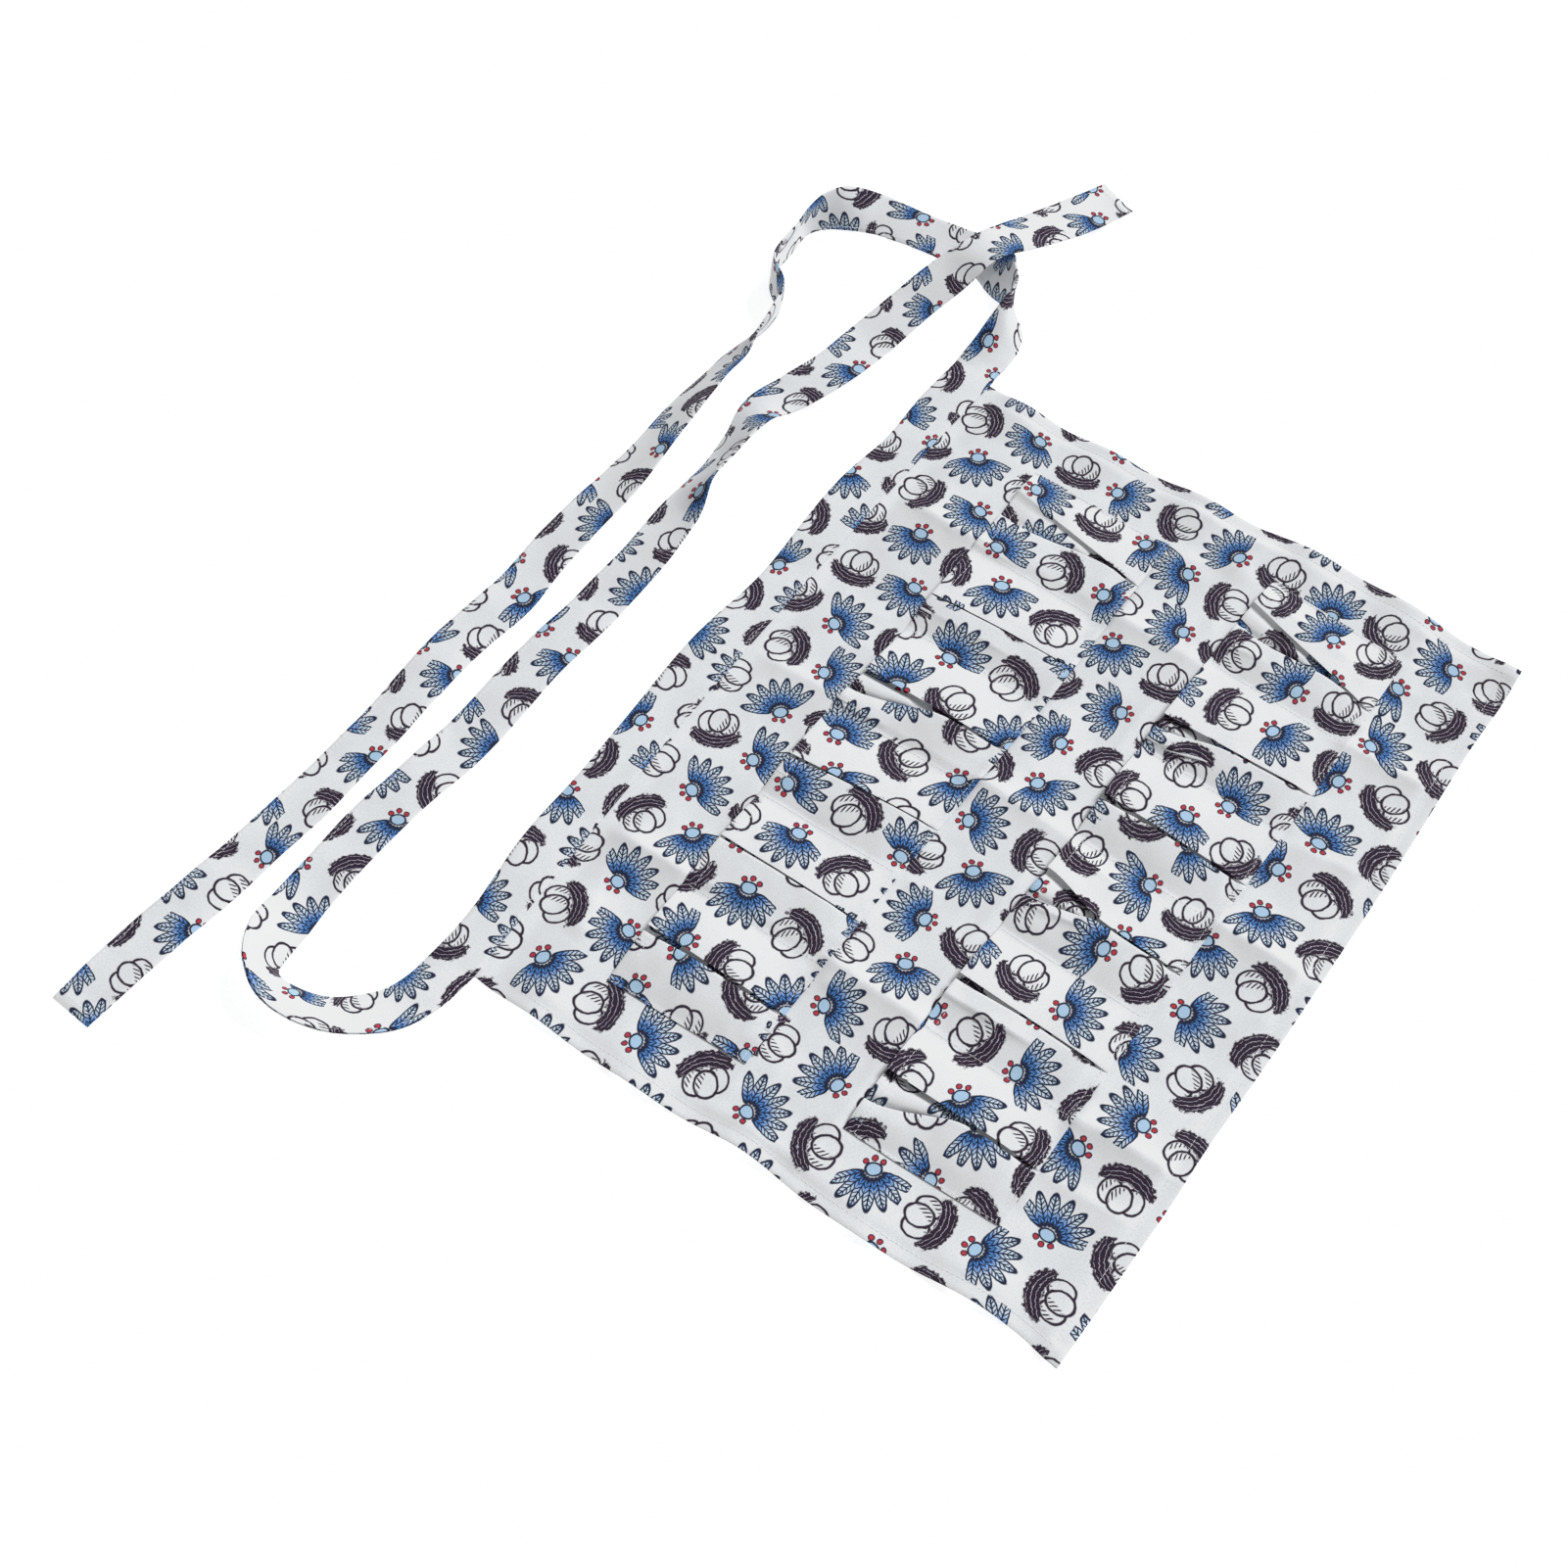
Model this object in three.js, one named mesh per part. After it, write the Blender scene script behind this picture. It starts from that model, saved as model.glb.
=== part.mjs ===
// An egg collecting apron lying face up: a hemmed panel, a folded waistband whose strip runs on as two
// loose ties, and two rows of pleated egg pockets.
// Millimetres. The floor is z = 0, +X runs along the waist and +Y from the hem to the waist.
import * as THREE from "three";

// Cloth, and the clearance that sewn pieces keep between them
const CLOTH = 1;
const SEAM_GAP = 0.3;

// Panel
const APRON_WIDTH = 550;
const APRON_HEIGHT = 429;
const HEM_WIDTH = 9;
const HEM_STEP = 0.6;
const RIPPLE_MARGIN = 38;
const RIPPLE_PITCH = 74;
const RIPPLE_HEIGHT = 4;
const EDGE_SCALLOP = 1.8;
const SIDE_SWAY = 5;
const PANEL_ROWS = 24;

// Waistband and ties
const STRAP_WIDTH = 30.5;
const STRAP_THICKNESS = 2 * CLOTH;
const WAIST_BOW = 6.5;
const SEAM_ALLOWANCE = 9;
const BAND_STEPS = 16;
const STEPS_PER_TIE_ROW = 4;
const CUT_TRIM = 0.006; // share of a row's step left open on each side of a cut

// Pockets
const POCKETS_PER_ROW = 6;
const POCKET_PITCH = 76.5;
const POCKET_HEIGHT = 103;
const SEAM_FLANGE = 3;
const LOBE_HEIGHT = 10;
const PLEAT_DEPTH = 11;
const PLEAT_LIFT = 1.5;
const LAYER_PITCH = CLOTH + 0.5;

const CLOTH_COLOUR = 0xe4e7ea;
const CLOTH_ROUGHNESS = 0.85;

const POCKET_ROWS = [
  { name: "upper", mouth: 119, shift: -2 },
  { name: "lower", mouth: -46, shift: 3 },
];

// How far the pocket's front stands off the panel, from its sewn bottom (0) to its mouth (1)
const POCKET_LEVELS = [
  { height: 0, fullness: 0 },
  { height: 0.04, fullness: 0 },
  { height: 0.25, fullness: 0.5 },
  { height: 0.5, fullness: 0.8 },
  { height: 0.77, fullness: 0.96 },
  { height: 1, fullness: 1 },
];

// Each tie's middle line from the waistband to its free end. lean is the tilt in degrees about that line,
// positive with the left edge up, lift is the clearance under the strap where it crosses the other, and
// cut marks the rows that divide the tie into simple stretches.
const LEFT_TIE = [
  { x: -275.5, y: 199, lean: 0, lift: 0 },
  { x: -283, y: 199, lean: 1, lift: 0 },
  { x: -301, y: 200, lean: 5, lift: 0 },
  { x: -323, y: 211, lean: 10, lift: 0 },
  { x: -346.5, y: 237, lean: 28, lift: 0 },
  { x: -354, y: 265, lean: 47, lift: 0 },
  { x: -348, y: 284, lean: 57, lift: 0 },
  { x: -333, y: 294, lean: 24, lift: 0 },
  { x: -302, y: 299, lean: 4, lift: 0, cut: true },
  { x: -228, y: 300, lean: 0, lift: 0 },
  { x: -158, y: 293, lean: 0, lift: 0 },
  { x: -76, y: 291.5, lean: -2, lift: 0 },
  { x: 6, y: 287.5, lean: -6, lift: 0, cut: true },
  { x: 60, y: 286, lean: -15, lift: 0 },
  { x: 84, y: 288.5, lean: -36, lift: 0 },
  { x: 108, y: 291.5, lean: -45, lift: 0 },
  { x: 139, y: 294, lean: -46, lift: 0 },
  { x: 165, y: 296, lean: -24, lift: 2, cut: true },
  { x: 190, y: 290, lean: -19, lift: 5 },
  { x: 222, y: 278, lean: -3, lift: 6 },
  { x: 262, y: 271, lean: 0, lift: 6, cut: true },
  { x: 295, y: 267, lean: 0, lift: 8 },
  { x: 328, y: 261, lean: 0, lift: 12 },
  { x: 352, y: 255, lean: 0, lift: 13 },
  { x: 386, y: 243, lean: 0, lift: 11 },
  { x: 432, y: 224, lean: 0, lift: 4 },
  { x: 473.5, y: 204.5, lean: 0, lift: 0.3 },
];
const RIGHT_TIE = [
  { x: 275.5, y: 199, lean: 0, lift: 0 },
  { x: 283, y: 199, lean: -2, lift: 0 },
  { x: 304, y: 199.5, lean: -14, lift: 0 },
  { x: 324, y: 203, lean: -46, lift: 0 },
  { x: 341, y: 212, lean: -92, lift: 0 },
  { x: 354, y: 226, lean: -142, lift: 0 },
  { x: 362, y: 246, lean: -174, lift: 0, cut: true },
  { x: 364, y: 280, lean: -184, lift: 0 },
  { x: 362, y: 310, lean: -188, lift: 0 },
  { x: 356, y: 337, lean: -195, lift: 0, cut: true },
  { x: 342, y: 360, lean: -228, lift: 0 },
  { x: 321, y: 369.5, lean: -266, lift: 0 },
  { x: 296, y: 367.5, lean: -277, lift: 0, cut: true },
  { x: 266, y: 353, lean: -284, lift: 0 },
  { x: 243, y: 342, lean: -288, lift: 0 },
  { x: 222, y: 335.5, lean: -292, lift: 0 },
  { x: 203, y: 334, lean: -298, lift: 0 },
  { x: 187, y: 335.5, lean: -309, lift: 0, cut: true },
  { x: 163, y: 336.5, lean: -319, lift: 0 },
  { x: 130, y: 337, lean: -326, lift: 0 },
  { x: 80, y: 336, lean: -338, lift: 0 },
  { x: 40, y: 338.5, lean: -348, lift: 0 },
  { x: 0, y: 339, lean: -355, lift: 0 },
  { x: -50, y: 338.5, lean: -360, lift: 0 },
  { x: -115, y: 343, lean: -360, lift: 0 },
  { x: -190, y: 341.5, lean: -360, lift: 0 },
  { x: -280, y: 345.5, lean: -360, lift: 0 },
  { x: -360, y: 353, lean: -360, lift: 0 },
  { x: -425, y: 358.8, lean: -360, lift: 0 },
];

const HALF_WIDTH = APRON_WIDTH / 2;
const HALF_HEIGHT = APRON_HEIGHT / 2;

// A closed cloth solid from a grid: sides(i, j) gives the cloth's front and back points at that place.
function clothSolid(columns, rows, sides) {
  const positions = [];
  for (let i = 0; i < columns; i++) {
    for (let j = 0; j < rows; j++) {
      const [front, back] = sides(i, j);
      positions.push(...front.toArray(), ...back.toArray());
    }
  }
  const FRONT = 0;
  const BACK = 1;
  const at = (i, j, side) => 2 * (i * rows + j) + side;
  const index = [];
  const quad = (a, b, c, d) => index.push(a, b, c, a, c, d);
  for (let i = 0; i + 1 < columns; i++) {
    for (let j = 0; j + 1 < rows; j++) {
      quad(at(i, j, FRONT), at(i + 1, j, FRONT), at(i + 1, j + 1, FRONT), at(i, j + 1, FRONT));
      quad(at(i, j, BACK), at(i, j + 1, BACK), at(i + 1, j + 1, BACK), at(i + 1, j, BACK));
    }
    const last = rows - 1;
    quad(at(i, 0, BACK), at(i + 1, 0, BACK), at(i + 1, 0, FRONT), at(i, 0, FRONT));
    quad(at(i, last, FRONT), at(i + 1, last, FRONT), at(i + 1, last, BACK), at(i, last, BACK));
  }
  for (let j = 0; j + 1 < rows; j++) {
    const last = columns - 1;
    quad(at(0, j, FRONT), at(0, j + 1, FRONT), at(0, j + 1, BACK), at(0, j, BACK));
    quad(at(last, j, BACK), at(last, j + 1, BACK), at(last, j + 1, FRONT), at(last, j, FRONT));
  }
  const geometry = new THREE.BufferGeometry();
  geometry.setAttribute("position", new THREE.Float32BufferAttribute(positions, 3));
  geometry.setIndex(index);
  geometry.computeVertexNormals();
  return geometry;
}

// The front and back of a cloth section drawn as a line, from its points and half its thickness.
function sectionSides(line) {
  return line.map((point, k) => {
    const before = line[Math.max(k - 1, 0)];
    const after = line[Math.min(k + 1, line.length - 1)];
    const along = after.clone().sub(before).normalize();
    const off = new THREE.Vector2(-along.y, along.x).multiplyScalar(CLOTH / 2);
    return [point.clone().add(off), point.clone().sub(off)];
  });
}

function clothMesh(name, geometry) {
  const material = new THREE.MeshStandardMaterial({
    color: CLOTH_COLOUR,
    roughness: CLOTH_ROUGHNESS,
    metalness: 0,
  });
  const mesh = new THREE.Mesh(geometry, material);
  mesh.name = name;
  return mesh;
}

// How far the waistline stands up from the line between its ends
function waistBow(x) {
  return WAIST_BOW * Math.cos((Math.PI * x) / APRON_WIDTH);
}

function seamHeight(x) {
  return HALF_HEIGHT - STRAP_WIDTH + waistBow(x);
}

// The panel lies flat, lifts in soft waves along its two sides, and rises a little into the waistband.
function bodyPanel() {
  const hemInner = HALF_WIDTH - HEM_WIDTH;
  const flatHalf = HALF_WIDTH - RIPPLE_MARGIN;
  const rippleMiddle = HALF_WIDTH - RIPPLE_MARGIN / 2;
  const right = [0, flatHalf / 2, flatHalf, rippleMiddle, hemInner - 0.5, hemInner, HALF_WIDTH];
  const across = [...right.slice(1).reverse().map((x) => -x), ...right];
  const bottom = -HALF_HEIGHT;
  const hemTop = bottom + HEM_WIDTH;
  const rowAt = (j, top) => {
    if (j === 0) return bottom;
    if (j === 1) return hemTop;
    return THREE.MathUtils.lerp(hemTop + 0.5, top, (j - 2) / (PANEL_ROWS - 1));
  };
  const plainRows = PANEL_ROWS + 2;
  const rampStart = 10;
  const bandUnderside = CLOTH + SEAM_GAP;
  return clothSolid(across.length, plainRows + 2, (i, j) => {
    const x = across[i];
    const seam = seamHeight(x);
    const underBand = j >= plainRows;
    let y = rowAt(Math.min(j, plainRows - 1), seam - rampStart);
    if (j === plainRows) y = seam - 1;
    if (j === plainRows + 1) y = seam + SEAM_ALLOWANCE;
    const edge = THREE.MathUtils.smoothstep(Math.abs(x), flatHalf, HALF_WIDTH);
    const fade = THREE.MathUtils.smoothstep(seam - y, 0, 45);
    const wave = Math.sin((2 * Math.PI * y) / RIPPLE_PITCH + (x > 0 ? 0.6 : 2.1));
    const lift = underBand ? bandUnderside : (RIPPLE_HEIGHT * edge * fade * (1 + wave)) / 2;
    const inHem = Math.abs(x) >= hemInner || y <= hemTop;
    const thickness = CLOTH + (inHem && !underBand ? HEM_STEP : 0);
    const drawnIn = (Math.sign(x) * EDGE_SCALLOP * edge * fade * (1 + wave)) / 2;
    const sway = SIDE_SWAY * edge * fade * Math.cos((Math.PI * y) / APRON_HEIGHT);
    const back = new THREE.Vector3(x - drawnIn - sway, y, lift);
    return [back.clone().setZ(lift + thickness), back];
  });
}

// One strip folded in half over the panel's top edge, open along the seam.
function waistband() {
  const slot = CLOTH + 2 * SEAM_GAP;
  const turn = (slot + CLOTH) / 2;
  const foldStart = STRAP_WIDTH - turn - CLOTH / 2;
  const middle = CLOTH / 2 + turn;
  const line = [new THREE.Vector2(0, CLOTH / 2)];
  for (const degrees of [-90, -30, 30, 90]) {
    const angle = THREE.MathUtils.degToRad(degrees);
    line.push(new THREE.Vector2(foldStart + turn * Math.cos(angle), middle + turn * Math.sin(angle)));
  }
  line.push(new THREE.Vector2(0, middle + turn));
  const section = sectionSides(line);
  return clothSolid(BAND_STEPS + 1, section.length, (i, j) => {
    const x = THREE.MathUtils.lerp(-HALF_WIDTH, HALF_WIDTH, i / BAND_STEPS);
    return section[j].map((p) => new THREE.Vector3(x, seamHeight(x) + p.x, p.y));
  });
}

// A flat strap along its table of rows, standing on its lower edge wherever it leans, as one mesh a stretch.
function tieStretches(name, rows) {
  const path = new THREE.CatmullRomCurve3(rows.map((row) => new THREE.Vector3(row.x, row.y, 0)));
  const poses = new THREE.CatmullRomCurve3(
    rows.map((row) => new THREE.Vector3(row.lean, row.lift, 0)),
    false,
    "catmullrom",
  );
  const last = rows.length - 1;
  const up = new THREE.Vector3(0, 0, 1);
  const strapSides = (t, edgeSide) => {
    const pose = poses.getPoint(t);
    const lean = THREE.MathUtils.degToRad(pose.x);
    const left = new THREE.Vector3().crossVectors(up, path.getTangent(t));
    const acrossStrap = left.clone().multiplyScalar(Math.cos(lean)).addScaledVector(up, Math.sin(lean));
    const faceUp = up.clone().multiplyScalar(Math.cos(lean)).addScaledVector(left, -Math.sin(lean));
    const rise = (STRAP_WIDTH * Math.abs(Math.sin(lean)) + STRAP_THICKNESS * Math.abs(Math.cos(lean))) / 2;
    const middle = path.getPoint(t).setZ(rise + Math.max(pose.y, 0));
    const edge = middle.addScaledVector(acrossStrap, (edgeSide * STRAP_WIDTH) / 2);
    const front = edge.clone().addScaledVector(faceUp, STRAP_THICKNESS / 2);
    return [front, edge.addScaledVector(faceUp, -STRAP_THICKNESS / 2)];
  };
  const cuts = [...rows.keys()].filter((k) => rows[k].cut);
  const starts = [0, ...cuts.map((k) => k + CUT_TRIM)];
  const ends = [...cuts.map((k) => k - CUT_TRIM), last];
  return starts.map((start, k) => {
    const steps = Math.round(ends[k] - start) * STEPS_PER_TIE_ROW;
    const solid = clothSolid(steps + 1, 2, (i, j) => {
      const row = THREE.MathUtils.lerp(start, ends[k], i / steps);
      return strapSides(row / last, j === 0 ? -1 : 1);
    });
    return clothMesh(`${name}_${k + 1}`, solid);
  });
}

// A pocket front's section across its width: two puffed lobes, the left one folded over the right one
// in a knife pleat of three layers.
function pocketLine(fullness) {
  const lobe = LOBE_HEIGHT * fullness;
  const stack = PLEAT_LIFT * fullness;
  const fold = POCKET_PITCH / 2;
  const turnBack = fold - PLEAT_DEPTH;
  const radius = LAYER_PITCH / 2;
  const start = SEAM_GAP / 2;
  const end = POCKET_PITCH - SEAM_GAP / 2;
  const point = (x, z) => new THREE.Vector2(x, z);
  const line = [point(start, 0)];
  const leftFrom = SEAM_FLANGE;
  for (const s of [0, 0.2, 0.42, 0.64, 0.84]) {
    const x = THREE.MathUtils.lerp(leftFrom, fold, s);
    line.push(point(x, s * (stack + 2 * LAYER_PITCH) + lobe * Math.sin(Math.PI * s)));
  }
  line.push(point(fold, stack + 2 * LAYER_PITCH));
  line.push(point(fold + radius, stack + 1.5 * LAYER_PITCH));
  line.push(point(fold, stack + LAYER_PITCH));
  line.push(point(turnBack, stack + LAYER_PITCH));
  line.push(point(turnBack - radius, stack + radius));
  line.push(point(turnBack, stack));
  const rightFrom = fold + 1;
  const rightTo = POCKET_PITCH - SEAM_FLANGE;
  for (const s of [0, 0.2, 0.4, 0.62, 0.82, 1]) {
    const x = THREE.MathUtils.lerp(rightFrom, rightTo, s);
    line.push(point(x, (1 - s) * stack + lobe * Math.sin(Math.PI * s)));
  }
  line.push(point(end, 0));
  return line;
}

function pocket(leftX, mouthY) {
  const base = CLOTH + SEAM_GAP + CLOTH / 2;
  const sections = POCKET_LEVELS.map((level) => sectionSides(pocketLine(level.fullness)));
  return clothSolid(sections[0].length, sections.length, (i, j) => {
    const y = mouthY - POCKET_HEIGHT * (1 - POCKET_LEVELS[j].height);
    return sections[j][i].map((p) => new THREE.Vector3(leftX + p.x, y, base + p.y));
  });
}

const apron = new THREE.Group();
apron.add(clothMesh("body_panel", bodyPanel()));
apron.add(clothMesh("waistband", waistband()));
apron.add(...tieStretches("tie_left", LEFT_TIE));
apron.add(...tieStretches("tie_right", RIGHT_TIE));
for (const row of POCKET_ROWS) {
  const firstX = row.shift - (POCKETS_PER_ROW * POCKET_PITCH) / 2;
  for (let k = 0; k < POCKETS_PER_ROW; k++) {
    const name = `${row.name}_pocket_${k + 1}`;
    apron.add(clothMesh(name, pocket(firstX + k * POCKET_PITCH, row.mouth)));
  }
}

export default apron;
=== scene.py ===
# %% [markdown]
# # An egg collecting apron
# The real apron is four pieces of printed cotton: a hemmed panel, two strips pleated into egg pockets,
# and one long folded strip that is the waistband and both ties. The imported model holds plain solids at
# their true places. This lesson dresses them: each cloth is a grid of points laid out by a few sizes,
# given its thickness by Solidify, and finished with thread and a printed weave.

import bpy
import numpy as np
from mathutils import Matrix


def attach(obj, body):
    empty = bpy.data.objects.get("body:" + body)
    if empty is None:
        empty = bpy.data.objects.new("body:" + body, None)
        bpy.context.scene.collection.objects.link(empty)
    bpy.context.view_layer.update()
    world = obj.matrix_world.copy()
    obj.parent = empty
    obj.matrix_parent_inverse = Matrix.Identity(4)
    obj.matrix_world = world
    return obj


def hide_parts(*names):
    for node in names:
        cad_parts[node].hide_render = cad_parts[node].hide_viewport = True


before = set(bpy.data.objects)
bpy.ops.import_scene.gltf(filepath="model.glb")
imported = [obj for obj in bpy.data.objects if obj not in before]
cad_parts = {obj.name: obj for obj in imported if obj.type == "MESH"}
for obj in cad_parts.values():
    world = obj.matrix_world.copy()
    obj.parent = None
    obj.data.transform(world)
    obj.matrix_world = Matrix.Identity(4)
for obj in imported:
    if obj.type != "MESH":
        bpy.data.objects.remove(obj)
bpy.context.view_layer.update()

# %% [markdown]
# ## Camera
# The photograph looks down at the apron from one corner, with the waist running up the picture to the
# right. The camera is given by its place and by the directions of its view and of its picture's top, so
# no aiming by eye is needed. The floor lies at z = 0, +X runs along the waist and +Y from hem to waist.

# %% Place the camera
CAMERA_PLACE = (-0.686604, -0.321278, 1.243616)
PICTURE_RIGHT = (0.58033, -0.81436, 0.00492)
PICTURE_TOP = (0.69374, 0.49751, 0.52078)
TOWARDS_CAMERA = (-0.42656, -0.29882, 0.85367)
LENS_MM = 54.728

bpy.ops.object.select_all(action="DESELECT")
bpy.ops.object.camera_add()
camera = bpy.context.object
axes = Matrix((PICTURE_RIGHT, PICTURE_TOP, TOWARDS_CAMERA)).transposed().to_4x4()
camera.matrix_world = Matrix.Translation(CAMERA_PLACE) @ axes
camera.data.sensor_width = 36
camera.data.sensor_fit = "HORIZONTAL"
camera.data.lens = LENS_MM
bpy.context.scene.camera = camera
print("camera", tuple(camera.location))

# %% [markdown]
# ## Shader sums
# A material is a net of nodes, and long sums are easier to read as Python. This class wraps one socket:
# an operator adds the Math node that it stands for, and `add` makes any other node.


# %% One class for node sums
class Signal:
    """A value at every point of a surface."""

    def __init__(self, tree, socket=None):
        self.tree, self.socket = tree, socket

    def add(self, kind, settings, inputs, output=0):
        node = self.tree.nodes.new(kind)
        for name, value in settings.items():
            setattr(node, name, value)
        for key, value in inputs.items():
            if isinstance(value, Signal):
                self.tree.links.new(value.socket, node.inputs[key])
            else:
                node.inputs[key].default_value = value
        return Signal(self.tree, node.outputs[output])

    def math(self, operation, *values):
        return self.add("ShaderNodeMath", {"operation": operation}, dict(enumerate(values)))

    def __add__(self, other):
        return self.math("ADD", self, other)

    def __radd__(self, other):
        return self.math("ADD", other, self)

    def __sub__(self, other):
        return self.math("SUBTRACT", self, other)

    def __rsub__(self, other):
        return self.math("SUBTRACT", other, self)

    def __mul__(self, other):
        return self.math("MULTIPLY", self, other)

    def __rmul__(self, other):
        return self.math("MULTIPLY", other, self)

    def __truediv__(self, other):
        return self.math("DIVIDE", self, other)

    def __rtruediv__(self, other):
        return self.math("DIVIDE", other, self)

    def apply(self, operation, *others):
        return self.math(operation, self, *others)

    def below(self, edge, blur):
        """1 where this value is under the edge, 0 over it, with a soft step between."""
        return self.add(
            "ShaderNodeMapRange",
            {"interpolation_type": "SMOOTHSTEP"},
            {0: self, 1: edge - blur, 2: edge + blur, 3: 1.0, 4: 0.0},
        )

    def over(self, below, colour, mask, blend="MIX"):
        """One colour with another one laid over it where the mask is 1."""
        settings = {"data_type": "RGBA", "blend_type": blend}
        return self.add("ShaderNodeMix", settings, {0: mask, 6: below, 7: colour}, output=2)


print("operators ready")

# %% [markdown]
# ## Printed cotton
# The cloth is smooth white cotton with a dense print in blues, near black and red. The print is drawn
# with distances: a petal is the set of points near its middle line, an outline a thin band of the same
# distance. Each piece carries a UV map called "cut" that gives its own flat cloth in metres, so the
# print follows folds and differs on each piece, as it does on sewn cloth. The reverse shows it paler.

# %% Colours and sizes of the print
GROUND = (0.745, 0.760, 0.778, 1)
BLUE = (0.07, 0.235, 0.60, 1)
LIGHT_BLUE = (0.40, 0.57, 0.74, 1)
PALE_BLUE = (0.58, 0.68, 0.77, 1)
NAVY = (0.008, 0.014, 0.045, 1)
PLUM = (0.022, 0.010, 0.028, 1)
RED = (0.46, 0.035, 0.05, 1)
GREY = (0.46, 0.44, 0.50, 1)
WORN = (0.86, 0.86, 0.86, 1)
CELL = 38.0
FULL_TURN = 2 * np.pi
# One petal's share of the fan, how many petals stand on each side of the middle one, how far the fan's foot
# lies under the cell's middle, how far out a petal's middle is, and the squares of its half sizes
PETAL_STEP = np.radians(22)
PETALS_A_SIDE = 3.0
FAN_FOOT = 9
PETAL_OUT = 15.5
PETAL_LENGTH_SQUARED = 95
PETAL_WIDTH_SQUARED = 9.8
# The x and y of each berry in its cell, and the x, y and half width of each egg
BERRIES = ((-4.6, -13), (0.2, -14.8), (4.8, -12.6))
BERRY_RIM = 1.9
BERRY = 1.25
EGGS = ((-6.4, 4.5, 6.2), (6.6, 4.0, 6.2), (0.2, 6.2, 6.6))
EGG_HEIGHT = 1.3
# How far the nest's middle lies under the cell's, the squares of its half sizes, and how ragged it is
NEST_DROP = 4.0
NEST_WIDTH_SQUARED = 256
NEST_DEPTH_SQUARED = 110
RAGGED = 9
# How soft the ink's edges are on petals, on eggs and nests, and on fine lines and berries
PETAL_EDGE = 0.06
EGG_EDGE = 0.05
LINE_EDGE = 0.2
# In metres: how far the ink strays from its line, and the pitch of the yarns
INK_WOBBLE = 0.0011
YARN_PITCH = 0.00045
print("petals", 2 * PETALS_A_SIDE + 1, "eggs", len(EGGS), "yarns", YARN_PITCH, "m apart")


# %% The motifs of the print
def cornflower(x, y):
    """A blue flower head in a fan, over three red berries: its colours and masks, from the back."""
    rise = y + FAN_FOOT
    reach = (x * x + rise * rise).apply("SQRT")
    turn = x.apply("ARCTAN2", rise)
    nearest = (turn / PETAL_STEP).apply("ROUND")
    nearest = nearest.apply("MAXIMUM", -PETALS_A_SIDE).apply("MINIMUM", PETALS_A_SIDE)
    off = turn - nearest * PETAL_STEP
    along = reach * off.apply("COSINE") - PETAL_OUT
    across = reach * off.apply("SINE")
    petal = (along * along / PETAL_LENGTH_SQUARED + across * across / PETAL_WIDTH_SQUARED).apply("SQRT")
    vein = ((along - across.apply("ABSOLUTE") * 1.1) * 2.3).apply("SINE")
    rib = across.apply("ABSOLUTE").below(0.45, LINE_EDGE)
    inside = petal.below(0.80, PETAL_EDGE)
    bud = (x * x / 22 + (y + 8.5) * (y + 8.5) / 14).apply("SQRT")
    layers = [
        (NAVY, petal.below(1.08, PETAL_EDGE)),
        (BLUE, inside),
        (PALE_BLUE, inside * (0 - along).below(1.5, 4.0)),
        (NAVY, inside * vein.below(-0.45, 0.25)),
        (NAVY, inside * rib),
        (NAVY, bud.below(1.12, PETAL_EDGE)),
        (LIGHT_BLUE, bud.below(0.84, PETAL_EDGE)),
    ]
    for berry_x, berry_y in BERRIES:
        away = ((x - berry_x) * (x - berry_x) + (y - berry_y) * (y - berry_y)).apply("SQRT")
        layers += [(NAVY, away.below(BERRY_RIM, LINE_EDGE)), (RED, away.below(BERRY, LINE_EDGE))]
    return layers


def nest_of_eggs(x, y, straw):
    """Three white eggs in a dark nest of straw: its colours and masks, from the back."""
    layers = []
    for egg_x, egg_y, width in EGGS:
        across, up = x - egg_x, y - egg_y
        egg = (across * across / width**2 + up * up / (width * EGG_HEIGHT) ** 2).apply("SQRT")
        hatch = ((across + up * 0.5) * 2.6).apply("SINE").below(-0.35, 0.3)
        shade = egg.below(0.84, 0.04) * (1 - (across * 0.9 - up * 0.4).below(2.2, 0.6))
        layers += [
            (PLUM, egg.below(1.08, EGG_EDGE)),
            (GROUND, egg.below(0.87, EGG_EDGE)),
            (PLUM, shade * hatch),
        ]
    ragged = (straw - 0.5) * RAGGED
    bowl_y = y + NEST_DROP
    bowl = (x * x / NEST_WIDTH_SQUARED + bowl_y * bowl_y / NEST_DEPTH_SQUARED).apply("SQRT") + ragged * 0.045
    rim = bowl_y - x * x * 0.018 + ragged * 0.7
    nest = bowl.below(0.98, EGG_EDGE) * rim.below(0.0, 0.5)
    strands = ((bowl_y + ragged * 0.3 - x * x * 0.03) * 2.3).apply("SINE")
    lit = nest * bowl.below(0.86, EGG_EDGE) * strands.below(-0.92, 0.08)
    return [*layers, (PLUM, nest), (GREY, lit)]


print("motifs: cornflower and nest of eggs, one in each cell of", CELL, "mm")


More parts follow.
